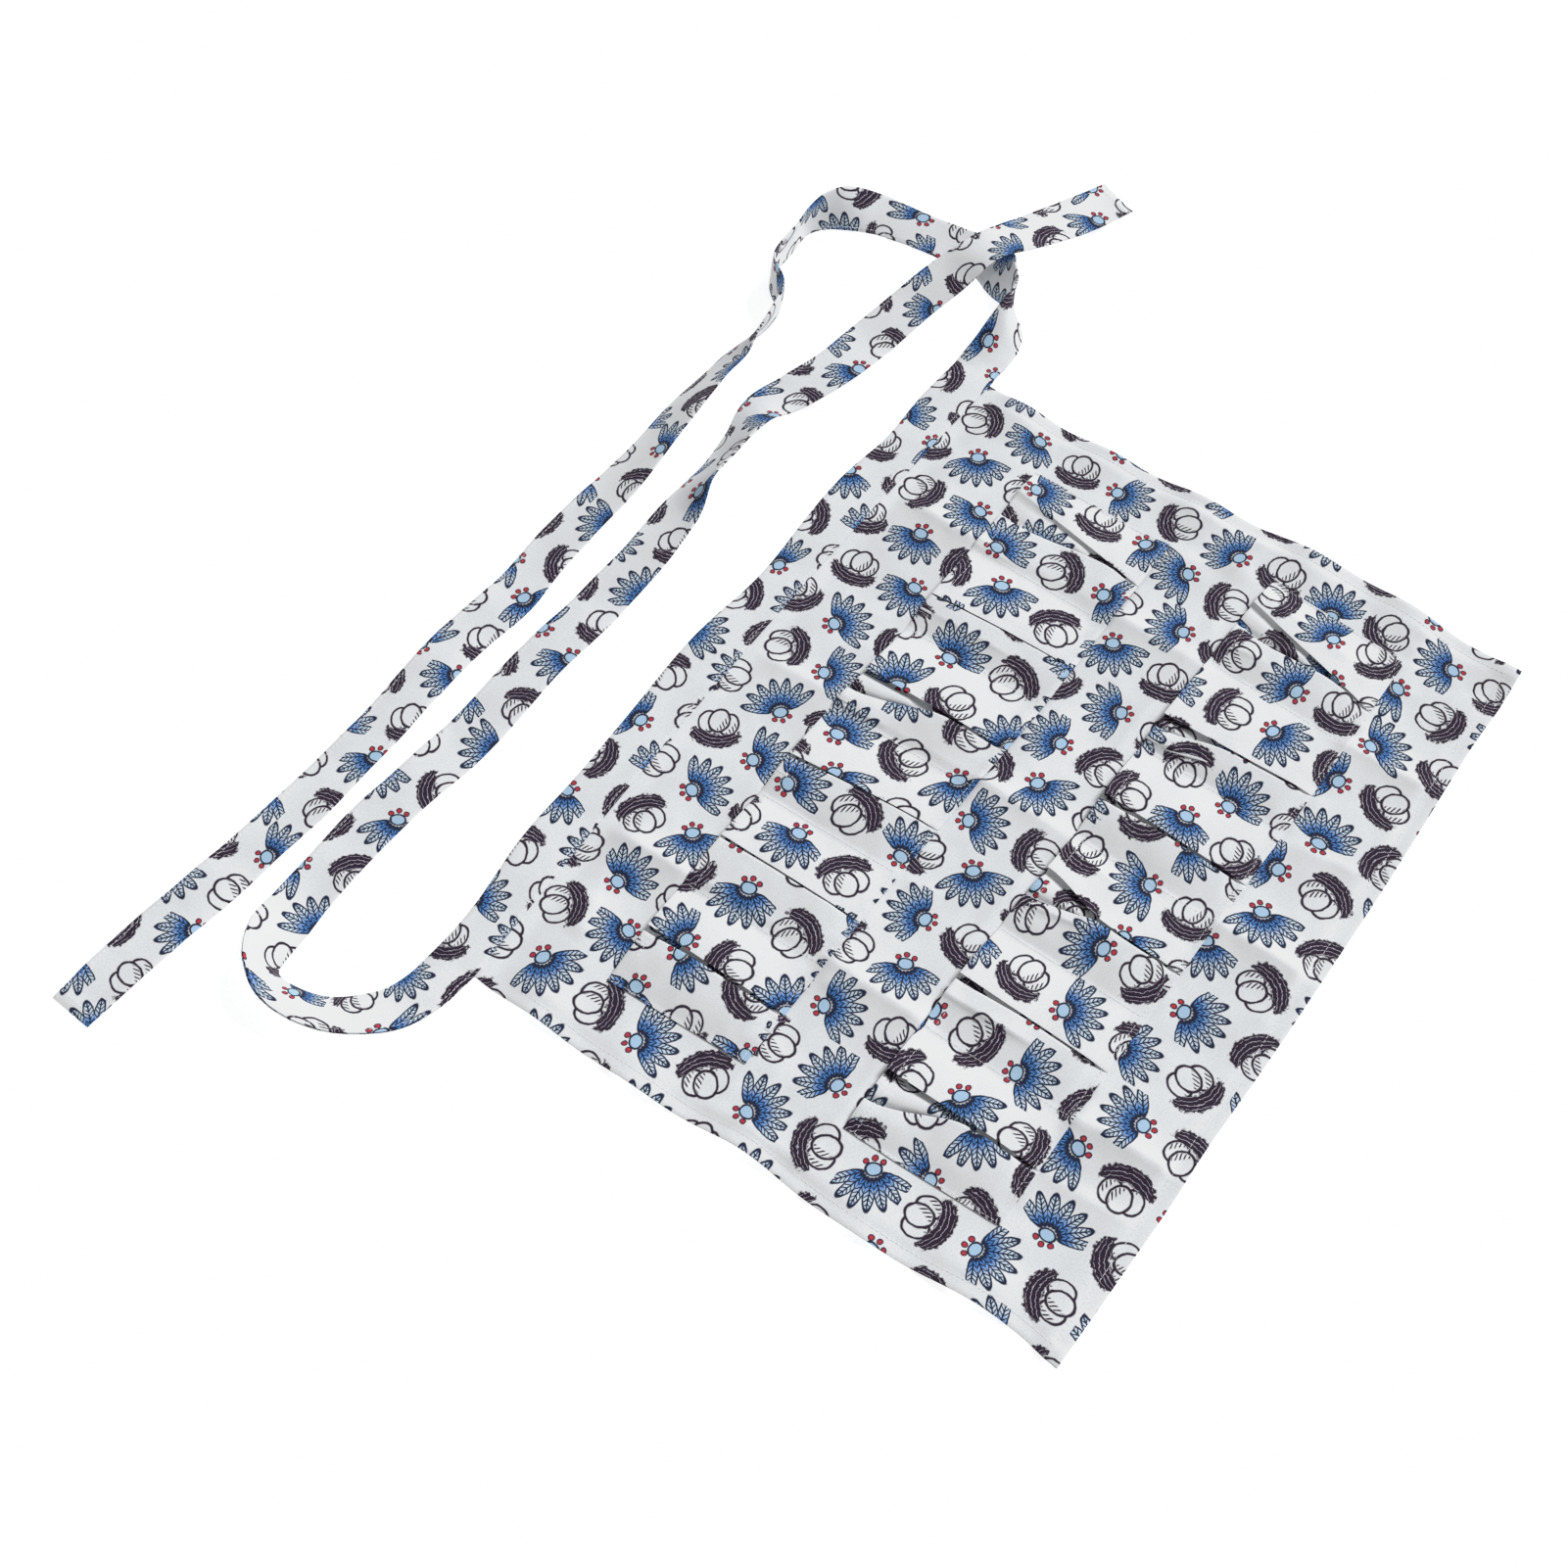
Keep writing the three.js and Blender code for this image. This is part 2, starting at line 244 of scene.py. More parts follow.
# %% The cotton material
def cotton(name, fade):
    """Printed cotton, its print faded towards the ground by fade."""
    material = bpy.data.materials.new(name)
    material.use_nodes = True
    tree = material.node_tree
    shader = tree.nodes["Principled BSDF"]
    start = Signal(tree)
    cut = start.add("ShaderNodeUVMap", {"uv_map": "cut"}, {})
    wobble = start.add("ShaderNodeTexNoise", {}, {"Vector": cut, "Scale": 260.0, "Detail": 2.0}, output=1)
    strayed = {0: wobble, 1: (INK_WOBBLE,) * 3, 2: cut}
    bent = start.add("ShaderNodeVectorMath", {"operation": "MULTIPLY_ADD"}, strayed)
    split = start.add("ShaderNodeSeparateXYZ", {}, {0: bent})
    u, v = split, Signal(tree, split.socket.node.outputs[1])
    column = u * (1000 / CELL)
    column_number = column.apply("FLOOR")
    half_drop = (column_number * 0.5).apply("FRACT")
    row = v * (1000 / CELL) + half_drop
    row_number = row.apply("FLOOR")
    cell = start.add("ShaderNodeCombineXYZ", {}, {0: column_number, 1: row_number})
    chance = start.add("ShaderNodeTexWhiteNoise", {"noise_dimensions": "2D"}, {"Vector": cell})
    local = start.add(
        "ShaderNodeCombineXYZ",
        {},
        {0: (column - column_number - 0.5) * CELL, 1: (row - row_number - 0.5) * CELL},
    )
    turned = start.add(
        "ShaderNodeVectorRotate",
        {"rotation_type": "Z_AXIS"},
        {"Vector": local, "Angle": chance * FULL_TURN},
    )
    parts = start.add("ShaderNodeSeparateXYZ", {}, {0: turned})
    x, y = parts, Signal(tree, parts.socket.node.outputs[1])
    odd_row = (row_number * 0.5).apply("FRACT") * 2
    odd = (odd_row - half_drop * 2).apply("ABSOLUTE")

    colour = GROUND
    straw = start.add("ShaderNodeTexNoise", {}, {"Vector": cut, "Scale": 420.0, "Detail": 2.0})
    for layers, chosen in ((cornflower(x, y), odd), (nest_of_eggs(x, y, straw), 1 - odd)):
        for paint, mask in layers:
            colour = start.over(colour, paint, mask * chosen)
    cloud = start.add("ShaderNodeTexNoise", {}, {"Vector": cut, "Scale": 22.0, "Detail": 3.0})
    slub = start.add("ShaderNodeTexNoise", {}, {"Vector": cut, "Scale": 900.0, "Detail": 1.0})
    colour = start.over(colour, GROUND, fade + slub * 0.012)
    worn = cloud.below(0.45, 0.25) * 0.5 + slub.below(0.47, 0.12) * 0.4
    colour = start.over(colour, WORN, worn, "MULTIPLY")

    warp = (u * (FULL_TURN / YARN_PITCH)).apply("SINE")
    weft = (v * (FULL_TURN / YARN_PITCH)).apply("SINE")
    crinkle = start.add("ShaderNodeTexNoise", {}, {"Vector": cut, "Scale": 90.0, "Detail": 4.0})
    height = warp * weft * 0.12 + slub * 0.2 + crinkle * 1.2
    bump = start.add("ShaderNodeBump", {}, {"Strength": 0.35, "Distance": 0.0005, "Height": height})
    rough = 0.74 + cloud * 0.12 + slub * 0.05
    tree.links.new(colour.socket, shader.inputs["Base Color"])
    tree.links.new(rough.socket, shader.inputs["Roughness"])
    tree.links.new(bump.socket, shader.inputs["Normal"])
    shader.inputs["Sheen Weight"].default_value = 0.05
    shader.inputs["Sheen Roughness"].default_value = 0.5
    shader.inputs["Specular IOR Level"].default_value = 0.2
    return material


FRONT = cotton("printed_cotton", fade=0.0)
REVERSE = cotton("printed_cotton_reverse", fade=0.62)
print("cotton nodes:", len(FRONT.node_tree.nodes))

# %% [markdown]
# ## Cloth helpers
# A cloth could be simulated, but this one has settled: the photograph fixes every fold. So each cloth is
# a grid added by its operator, its points moved to places worked out with numpy, and Solidify gives it
# a third of a millimetre of thickness. Soft noise is a table of random heights, smoothly joined.

# %% Helpers in millimetres
MM = 0.001
CLOTH = 0.35
LAYER = 0.42
THREAD = 0.36
SOFT_EDGE = np.radians(60)
NOISE_TABLE = 96
NOISE_MIDDLE = 45


def smooth(low, high, value):
    share = np.clip((value - low) / (high - low), 0, 1)
    return share * share * (3 - 2 * share)


def soft_noise(x, y, pitch_x, pitch_y, seed):
    """Smooth heights from -1 to 1 that change every pitch."""
    table = np.random.default_rng(seed).uniform(-1, 1, (NOISE_TABLE, NOISE_TABLE))
    across, along = x / pitch_x + NOISE_MIDDLE, y / pitch_y + NOISE_MIDDLE
    i, j = np.floor(across).astype(int), np.floor(along).astype(int)
    s, t = across - i, along - j
    s, t = (f**3 * (f * (f * 6 - 15) + 10) for f in (s, t))
    i, j = i % (NOISE_TABLE - 1), j % (NOISE_TABLE - 1)
    near = table[i, j] * (1 - s) + table[i + 1, j] * s
    far = table[i, j + 1] * (1 - s) + table[i + 1, j + 1] * s
    return near * (1 - t) + far * t


def through_rows(rows, at, power):
    """A smooth curve through a table's rows, at places such as row 2.5."""
    full = np.vstack([2 * rows[0] - rows[1], rows, 2 * rows[-1] - rows[-2]])
    k = np.minimum(at.astype(int), len(rows) - 2)
    f = (at - k)[:, None]
    p0, p1, p2, p3 = (full[k + n] for n in range(4))
    d0, d1, d2 = (
        np.maximum(np.linalg.norm(b - a, axis=1, keepdims=True), 1e-6) ** power
        for a, b in ((p0, p1), (p1, p2), (p2, p3))
    )
    m1 = ((p1 - p0) / d0 - (p2 - p0) / (d0 + d1) + (p2 - p1) / d1) * d1
    m2 = ((p2 - p1) / d1 - (p3 - p1) / (d1 + d2) + (p3 - p2) / d2) * d1
    return p1 + f * (m1 + f * (3 * (p2 - p1) - 2 * m1 - m2 + f * (2 * (p1 - p2) + m1 + m2)))


def normals_of(points):
    normal = np.cross(np.gradient(points, axis=1), np.gradient(points, axis=0))
    return normal / np.linalg.norm(normal, axis=2, keepdims=True)


print("cloth", CLOTH, "mm thick, its layers", LAYER, "mm apart, thread", THREAD, "mm")


# %% One helper makes every cloth
def cloth_sheet(name, points, cut):
    """A cloth through points[row, column], printed by the places in cut[row, column]; all in millimetres."""
    rows, columns = points.shape[0] - 1, points.shape[1] - 1
    bpy.ops.object.select_all(action="DESELECT")
    bpy.ops.mesh.primitive_grid_add(x_subdivisions=columns, y_subdivisions=rows, size=2)
    sheet = bpy.context.object
    mesh = sheet.data
    sheet.name = mesh.name = name
    flat = np.empty(len(mesh.vertices) * 3)
    mesh.vertices.foreach_get("co", flat)
    share = (flat.reshape(-1, 3) + 1) / 2
    column = np.rint(share[:, 0] * columns).astype(int)
    row = np.rint(share[:, 1] * rows).astype(int)
    mesh.vertices.foreach_set("co", (points[row, column] * MM).ravel())
    corner = np.empty(len(mesh.loops), dtype=np.int32)
    mesh.loops.foreach_get("vertex_index", corner)
    mesh.uv_layers.active.name = "cut"
    mesh.uv_layers["cut"].data.foreach_set("uv", (cut[row, column][corner] * MM).ravel())
    mesh.materials.append(FRONT)
    mesh.materials.append(REVERSE)
    mesh.update()
    solidify = sheet.modifiers.new("thickness", "SOLIDIFY")
    solidify.thickness = CLOTH * MM
    solidify.offset = 0
    solidify.material_offset = 1
    bpy.ops.object.modifier_apply(modifier=solidify.name)
    bpy.ops.object.shade_smooth_by_angle(angle=SOFT_EDGE)
    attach(sheet, "root")
    print(name, "faces", len(mesh.polygons), "reach mm", np.ptp(points, axis=(0, 1)).round(1))
    return sheet


# %% [markdown]
# ## The panel
# The panel lies on the floor, so its relief only ever rises from it: broad soft waves, ridges where it was
# folded in its packet, small puckers beside the pocket seams, and ripples along the two sides, where the
# hems draw the cloth in. Hems are real: the grid goes on past each edge, turns under and runs back.

# %% Sizes of the panel
APRON_WIDTH = 550.0
APRON_HEIGHT = 429.0
HALF_WIDTH = APRON_WIDTH / 2
HALF_HEIGHT = APRON_HEIGHT / 2
STRAP_WIDTH = 30.5
WAIST_BOW = 6.5
SEAM_ALLOWANCE = 9.0
HEM = 8.0
RIPPLE_MARGIN = 38.0
RIPPLE_PITCH = 74.0
RIPPLE_HEIGHT = 4.0
RIGHT_PHASE = 0.6
LEFT_PHASE = 2.1
FLOOR_CLEARANCE = 0.15
REST = FLOOR_CLEARANCE + CLOTH / 2
BAND_SLOT = REST + THREAD + 2 * LAYER
POCKET_HEIGHT = 103.0
POCKET_PITCH = 76.5
POCKETS_PER_ROW = 6
# Where each strip is sewn: x and y along its mouth and its base, the x of its two ends at the base and at
# the mouth, and how far the panel stands up against its base, or, below 0, the base stands off the panel
STRIP_LINES = {
    "upper": {
        "mouth": ((-234, 119), (-150, 121), (0, 121), (40, 117), (227, 117)),
        "base": ((-232, 23), (-115, 21), (-70, 20), (-10, 16.5), (70, 14), (226, 14)),
        "flush": ((-232, 0.5), (-60, 0.6), (10, -1.5), (226, -1.5)),
        "left": (-231.7, -234.4),
        "right": (225.7, 227.3),
    },
    "lower": {
        "mouth": (
            *((-232, -45.5), (-115, -46.5), (-45, -48.5), (-20, -51)),
            *((60, -49.5), (200, -52.5), (242, -55)),
        ),
        "base": ((-229, -147.5), (-115, -147.5), (-40, -149.5), (115, -153), (235, -152.5)),
        "flush": ((-229, 0.7), (235, 0.5)),
        "left": (-229.4, -231.6),
        "right": (234.7, 242.0),
    },
}
# The panel's outline as it lies: x of each side by y, and y of the bottom edge by x
LEFT_SIDE = (
    *((-214, -280), (-202, -275), (-188, -273.3), (-175, -272.5), (-145, -275), (-115, -277.5)),
    *((-75, -280), (-40, -277.5), (-10, -275), (20, -277.5), (55, -280), (95, -279.5)),
    *((125, -279), (170, -278.5), (200, -276)),
)
RIGHT_SIDE = (
    *((-214, 268.5), (-190, 269.5), (-160, 273), (-130, 275.5), (-92, 278), (-55, 276.5), (-20, 274)),
    *((5, 272.5), (28, 274), (50, 272), (95, 270.5), (125, 271), (155, 272.5), (200, 274)),
)
BOTTOM_EDGE = (
    *((-275, -215.5), (-201, -217), (-156, -218), (-126, -216.8), (-66, -218.6), (-21, -219)),
    *((83, -219), (143, -217.6), (203, -215.8), (248, -217.3), (275, -216)),
)
SIDE_REACH = 60.0
BOTTOM_REACH = 70.0
LINE_SOFTENING = (-14, -7, 0, 7, 14)


def soft_line(table, at):
    """A line through a table's pairs of place and value, its corners softened."""
    places, values = np.array(table).T
    return np.mean([np.interp(at + step, places, values) for step in LINE_SOFTENING], axis=0)


def strip_line(row, line, x):
    return soft_line(STRIP_LINES[row][line], x)


def waist_seam(x):
    return HALF_HEIGHT - STRAP_WIDTH + WAIST_BOW * np.cos(np.pi * x / APRON_WIDTH)


print("panel", APRON_WIDTH, "by", APRON_HEIGHT, "mm with hems of", HEM, "mm")


# %% Waves and folds of the panel
# Height, pitch along x and y, and seed of the broad, the middle and the fine waves
PANEL_WAVES = ((1.2, 105, 90, 11), (0.5, 36, 30, 12), (0.16, 9, 8, 13))
# near and far: how soon a fold falls away before its line and past it, where far is the +X or +Y side
PACKET_FOLDS = (
    {"x": -151, "height": 5.0, "near": 15, "far": 9, "seed": 21},
    {"x": 3, "height": 5.5, "near": 17, "far": 9, "seed": 22},
    {"x": 158, "height": 4.5, "near": 13, "far": 9, "seed": 23},
)
CROSS_FOLDS = (
    {"y": -39, "height": 2.6, "near": 9, "far": 13, "seed": 24},
    {"y": 4, "height": 1.2, "near": 14, "far": 12, "seed": 25},
)
PANEL_CREASES = (
    {"start": (-165, 16), "end": (-148, -14), "height": 1.8, "near": 7, "far": 3},
    {"start": (-82, 14), "end": (-74, -6), "height": 1.2, "near": 5, "far": 4},
    {"start": (228, -30), "end": (278, -38), "height": 2.4, "near": 8, "far": 10},
    {"start": (-222, 152), "end": (-192, 158), "height": 1.6, "near": 6, "far": 8},
    {"start": (-189, -150), "end": (-186, -208), "height": 1.6, "near": 10, "far": 5},
    {"start": (76, -160), "end": (82, -206), "height": 1.5, "near": 9, "far": 6},
    {"start": (206, 20), "end": (232, -12), "height": 1.4, "near": 8, "far": 6},
)


def ridge(off, shape):
    """A fold's height at a distance off its line."""
    return shape["height"] * np.exp(-np.where(off < 0, -off / shape["near"], off / shape["far"]))


def crease(x, y, shape):
    """The height of a short fold that runs down from its start, or across from it, to its end."""
    (x0, y0), (x1, y1) = shape["start"], shape["end"]
    length = np.hypot(x1 - x0, y1 - y0)
    along = ((x - x0) * (x1 - x0) + (y - y0) * (y1 - y0)) / length**2
    off = ((y - y0) * (x1 - x0) - (x - x0) * (y1 - y0)) / length
    return ridge(off, shape) * smooth(-0.1, 0.2, along) * (1 - smooth(0.7, 1.1, along))


print("folds:", len(PACKET_FOLDS) + len(CROSS_FOLDS), "long and", len(PANEL_CREASES), "short")


# %% The panel's relief
# How far a pocket strip flattens the folds under it, and the height and reach of the puckers at its base
COVERED = 0.8
PUCKER_HEIGHT = 0.4
PUCKER_REACH = 7
# How far a fold strays from its line
PACKET_WANDER = 2.5
CROSS_WANDER = 2


def panel_relief(x, y):
    """How far the cloth rises from where it would lie flat."""
    relief, bare = 0.0, 1.0
    for height, pitch_x, pitch_y, seed in PANEL_WAVES:
        relief = relief + height * (1 + soft_noise(x, y, pitch_x, pitch_y, seed))
    for row in STRIP_LINES:
        over_base = y - strip_line(row, "base", x)
        under_mouth = strip_line(row, "mouth", x) - y
        bare = bare * (1 - COVERED * smooth(-6, 8, over_base) * smooth(-6, 8, under_mouth))
        beside = np.exp(-np.abs(over_base) / PUCKER_REACH)
        relief = relief + PUCKER_HEIGHT * beside * (1 + soft_noise(x, y, 8, 40, 31))
        flush = np.maximum(strip_line(row, "flush", x), 0)
        relief = relief + flush * smooth(-0.5, 1.5, -over_base) * np.exp(np.minimum(over_base, 0) / 8)
    for fold in PACKET_FOLDS:
        strength = 0.8 + 0.35 * soft_noise(x * 0, y, 50, 60, fold["seed"])
        off = x - fold["x"] - PACKET_WANDER * soft_noise(x * 0, y, 50, 45, fold["seed"] + 10)
        relief = relief + ridge(off, fold) * strength * bare
    for fold in CROSS_FOLDS:
        strength = 0.7 + 0.5 * soft_noise(x, y * 0, 60, 50, fold["seed"])
        off = y - fold["y"] - CROSS_WANDER * soft_noise(x, y * 0, 55, 50, fold["seed"] + 10)
        relief = relief + ridge(off, fold) * strength
    for shape in PANEL_CREASES:
        relief = relief + crease(x, y, shape)
    return relief


def side_wave(x, y):
    """How far a place is in a rippled side, and its share of the ripple's height."""
    edge = smooth(HALF_WIDTH - RIPPLE_MARGIN, HALF_WIDTH, np.abs(x))
    fade = smooth(0, 45, waist_seam(x) - y)
    wave = np.sin(2 * np.pi * y / RIPPLE_PITCH + np.where(x > 0, RIGHT_PHASE, LEFT_PHASE))
    return edge * fade, (1 + wave) / 2


def side_pitch(y):
    """The gap between a side hem's layers, three times as wide where the bottom hem lies inside it."""
    return LAYER * (1 + 2 * (1 - smooth(2, 12, y + HALF_HEIGHT - HEM)))


def panel_height(x, y):
    """The height of the panel's upper layer over the floor."""
    in_side = 1 - smooth(HEM, HEM + 5, HALF_WIDTH - np.abs(x))
    in_bottom = 1 - smooth(HEM, HEM + 5, y + HALF_HEIGHT)
    hems = np.maximum(side_pitch(y) * in_side, LAYER * in_bottom)
    margin, wave = side_wave(x, y)
    calm = smooth(0, 30, waist_seam(x) - y) * (1 - 0.6 * np.maximum(in_side, in_bottom))
    lying = REST + hems + panel_relief(x, y) * calm + RIPPLE_HEIGHT * margin * wave
    into_band = smooth(-12, -1, y - waist_seam(x))
    return lying * (1 - into_band) + BAND_SLOT * into_band


print("height in the middle", panel_height(np.zeros(1), np.zeros(1)).round(2), "mm")

# %% Lay out the panel's grid
HEM_TURN = np.linspace(0, np.pi, 5)
HEM_STEPS = 3
PANEL_COLUMNS = 201
PANEL_ROWS = 151


def hem_run(start):
    """An edge's turn and its run underneath: how far along, the angle turned and the way back."""
    turn = HEM_TURN[1:]
    back = np.linspace(0, HEM - 1, HEM_STEPS + 1)[1:]
    along = np.full(len(turn) + len(back), start)
    angle = np.concatenate([turn, np.full(len(back), np.pi)])
    return along, angle, np.concatenate([np.zeros(len(turn)), back])


def panel_grid():
    edge = HALF_WIDTH - LAYER / 2
    inner = np.linspace(-(HALF_WIDTH - HEM), HALF_WIDTH - HEM, PANEL_COLUMNS)
    hem_top = np.linspace(HALF_WIDTH - HEM, edge, HEM_STEPS + 1)[1:]
    along, angle, back = hem_run(edge)
    columns = np.concatenate([-along[::-1], -hem_top[::-1], inner, hem_top, along])
    flat_run = np.zeros(len(inner) + 2 * len(hem_top))
    x_angle = np.concatenate([angle[::-1], flat_run, angle])
    x_back = np.concatenate([back[::-1], flat_run, back])

    bottom = HALF_HEIGHT - LAYER / 2
    along, angle, back = hem_run(-bottom)
    low_rows = np.linspace(-bottom, -(HALF_HEIGHT - HEM), HEM_STEPS + 1)
    climb = np.linspace(0, 1, PANEL_ROWS)[1:]
    y_angle = np.concatenate([angle[::-1], np.zeros(len(low_rows) + len(climb))])
    y_back = np.concatenate([back[::-1], np.zeros(len(low_rows) + len(climb))])

    x = np.broadcast_to(columns, (len(y_angle), len(columns)))
    top = waist_seam(x) + SEAM_ALLOWANCE
    hem_line = -(HALF_HEIGHT - HEM)
    y = np.vstack(
        [
            np.repeat(np.concatenate([along[::-1], low_rows])[:, None], len(columns), 1),
            hem_line + (top[:1] - hem_line) * climb[:, None],
        ]
    )
    y_angle, y_back = y_angle[:, None], y_back[:, None]
    pitch = side_pitch(y)
    side = np.sign(x)
    cut = np.dstack([x + side * (pitch / 2 * x_angle + x_back), y - LAYER / 2 * y_angle - y_back])
    drop_y = LAYER / 2 * (1 - np.cos(y_angle))
    drop_x = pitch / 2 * (1 - np.cos(x_angle))
    y = y - LAYER / 2 * np.sin(y_angle) + y_back
    x = x + side * (pitch / 2 * np.sin(x_angle) - x_back)
    z = panel_height(x, y) - drop_x - drop_y * np.cos(x_angle)
    edge_x = np.where(x > 0, soft_line(RIGHT_SIDE, y), soft_line(LEFT_SIDE, y)) - side * HALF_WIDTH
    edge_y = soft_line(BOTTOM_EDGE, x) + HALF_HEIGHT
    drawn_x = x + edge_x * smooth(HALF_WIDTH - SIDE_REACH, HALF_WIDTH, np.abs(x))
    drawn_y = y + edge_y * (1 - smooth(0, BOTTOM_REACH, y + HALF_HEIGHT))
    return np.dstack([drawn_x, drawn_y, z]), cut


panel_points, panel_cut = panel_grid()
panel = cloth_sheet("apron_panel", panel_points, panel_cut)
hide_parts("body_panel")

# %% [markdown]
# ## The pocket strips
# Each row of pockets is one strip of cloth, six pockets long. In every pocket its left half folds over its
# right half in a knife pleat of three layers, pressed flat at the sewn bottom and opening towards the
# mouth, where the cloth puffs out in two lobes. The mouth and the bottom are turned in, away from the
# front, along the cloth's own normal, so that each layer of a pleat carries its own hem.

# %% Sizes of the pockets
CREST_HEIGHT = 6.0
CREST_STEP = 0.7
OPEN_DROP = 2.6
LOBE_BULGE = 1.4
PLEAT_DEPTH = 11.0
PLEAT_PITCH = 1.7
PLEAT_UNDERCUT = 2.5
PLEAT_SLACK = 4.0
PRINT_PER_POCKET = POCKET_PITCH + 2 * PLEAT_DEPTH + PLEAT_SLACK
SEAM_ROOM = 6.0
CREST_REST = 0.3
EASED_CREST = 0.35
LEFT_CURVE = 1.3
RIGHT_CURVE = 1.25
# Between these two gaps a pleat changes from shut to open
OPEN_GAP = (4, 10)
SEAM_FLANGE = 2.0
MOUTH_HEM = 8.0
BOTTOM_HEM = 6.0
# How full the front is, by its height from the bottom, 0, to the mouth, 1
FRONT_FULLNESS = ((0, 0), (0.03, 0.15), (0.12, 0.5), (0.3, 0.75), (0.6, 0.92), (1, 1))
# slot: the pleat's gap where it is shut; gape: its gap at the mouth; shut: the height where it closes;
# offset: how far its line lies from the pocket's middle; lean: how far the line moves along the strip
# from bottom to mouth; flare: how far more it moves where it is open; ease: how far the pleat unfolds at
# the mouth; puff: the fullness of the front
POCKET_COLUMNS = ("slot", "gape", "shut", "offset", "lean", "flare", "ease", "puff")
POCKET_SHAPES = {
    "upper": (
        (3.0, 5.0, 0.60, -0.3, 2.3, 0.0, 0.0, 0.95),
        (1.6, 2.5, 0.60, -1.8, 0.8, 0.0, 0.0, 0.85),
        (1.2, 3.0, 0.60, 1.0, -8.0, 0.0, 0.0, 0.95),
        (2.5, 17.8, 0.38, -4.0, -2.0, 0.0, 0.0, 1.00),
        (1.0, 1.6, 0.50, -4.3, -5.4, 0.0, 0.0, 0.90),
        (2.2, 22.0, 0.10, -2.4, 18.6, 0.0, 0.8, 0.80),
    ),
    "lower": (
        (3.0, 22.0, 0.42, 1.5, 1.4, 0.0, 0.0, 1.00),
        (2.0, 5.0, 0.50, -3.0, 1.4, 0.0, 0.0, 0.95),
        (2.0, 22.0, 0.50, -2.4, 0.0, 10.8, 0.2, 1.00),
        (2.5, 5.0, 0.60, -5.7, 0.2, 0.0, 0.0, 0.95),
        (2.0, 10.0, 0.50, -5.7, -8.2, 0.0, 0.0, 1.00),
        (2.2, 19.0, 0.15, -8.3, 21.5, 0.0, 0.5, 0.90),
    ),
}
POCKET_CREASES = {
    "upper": (
        {"start": (90, 112), "end": (91, 44), "height": 1.3, "near": 3, "far": 9},
        {"start": (152, 128), "end": (154, 84), "height": 1.6, "near": 3, "far": 9},
        {"start": (-2, 128), "end": (2, 84), "height": 1.8, "near": 3, "far": 8},
        {"start": (-150, 128), "end": (-149, 60), "height": 1.2, "near": 4, "far": 8},
    ),
    "lower": (
        {"start": (-131, -36), "end": (-128, -112), "height": 2.2, "near": 2.5, "far": 11},
        {"start": (-54, -46), "end": (-43, -110), "height": 2.0, "near": 2.5, "far": 9},
        {"start": (-3, -42), "end": (-14, -112), "height": 2.4, "near": 9, "far": 4},
        {"start": (89, -38), "end": (93, -76), "height": 1.6, "near": 3, "far": 6},
        {"start": (177, -42), "end": (182, -80), "height": 1.6, "near": 3, "far": 6},
        {"start": (226, -50), "end": (214, -130), "height": 1.4, "near": 8, "far": 4},
    ),
}
print("pockets", {row: len(shapes) for row, shapes in POCKET_SHAPES.items()}, "each", POCKET_PITCH, "mm wide")


# %% One pocket's section
LOBE_STEPS = 28
TURN_STEPS = 6
UNDER_STEPS = 5
FACET_STEPS = 18


def pleat_facet(fold, crease_x, low, crest, undercut, spread, ease):
    """The run from under the fold to the crest: a flap, then a slot under the crest; plain where eased."""
    gap, rise = crease_x - fold, crest - low
    slotted_x = (
        fold,
        fold + 0.12 * gap,
        fold + 0.3 * gap,
        crease_x - 0.25 * gap,
        crease_x + 0.5 * undercut,
        crease_x + undercut,
        crease_x,
    )
    slotted_z = [low + rise * part for part in (0, 0, 0.48 * spread, 0.5 * spread, 0.1, 0.45, 1)]
    plain = np.linspace(0, 1, len(slotted_x))
    stops_x = [s + (fold + gap * p - s) * ease for s, p in zip(slotted_x, plain)]
    stops_z = [s + (low + rise * p - s) * ease for s, p in zip(slotted_z, plain)]
    at = np.linspace(0, len(plain) - 1, FACET_STEPS + 1)[1:]
    return (through_rows(np.hstack(stops).T, at, 0.0).T for stops in (stops_x, stops_z))


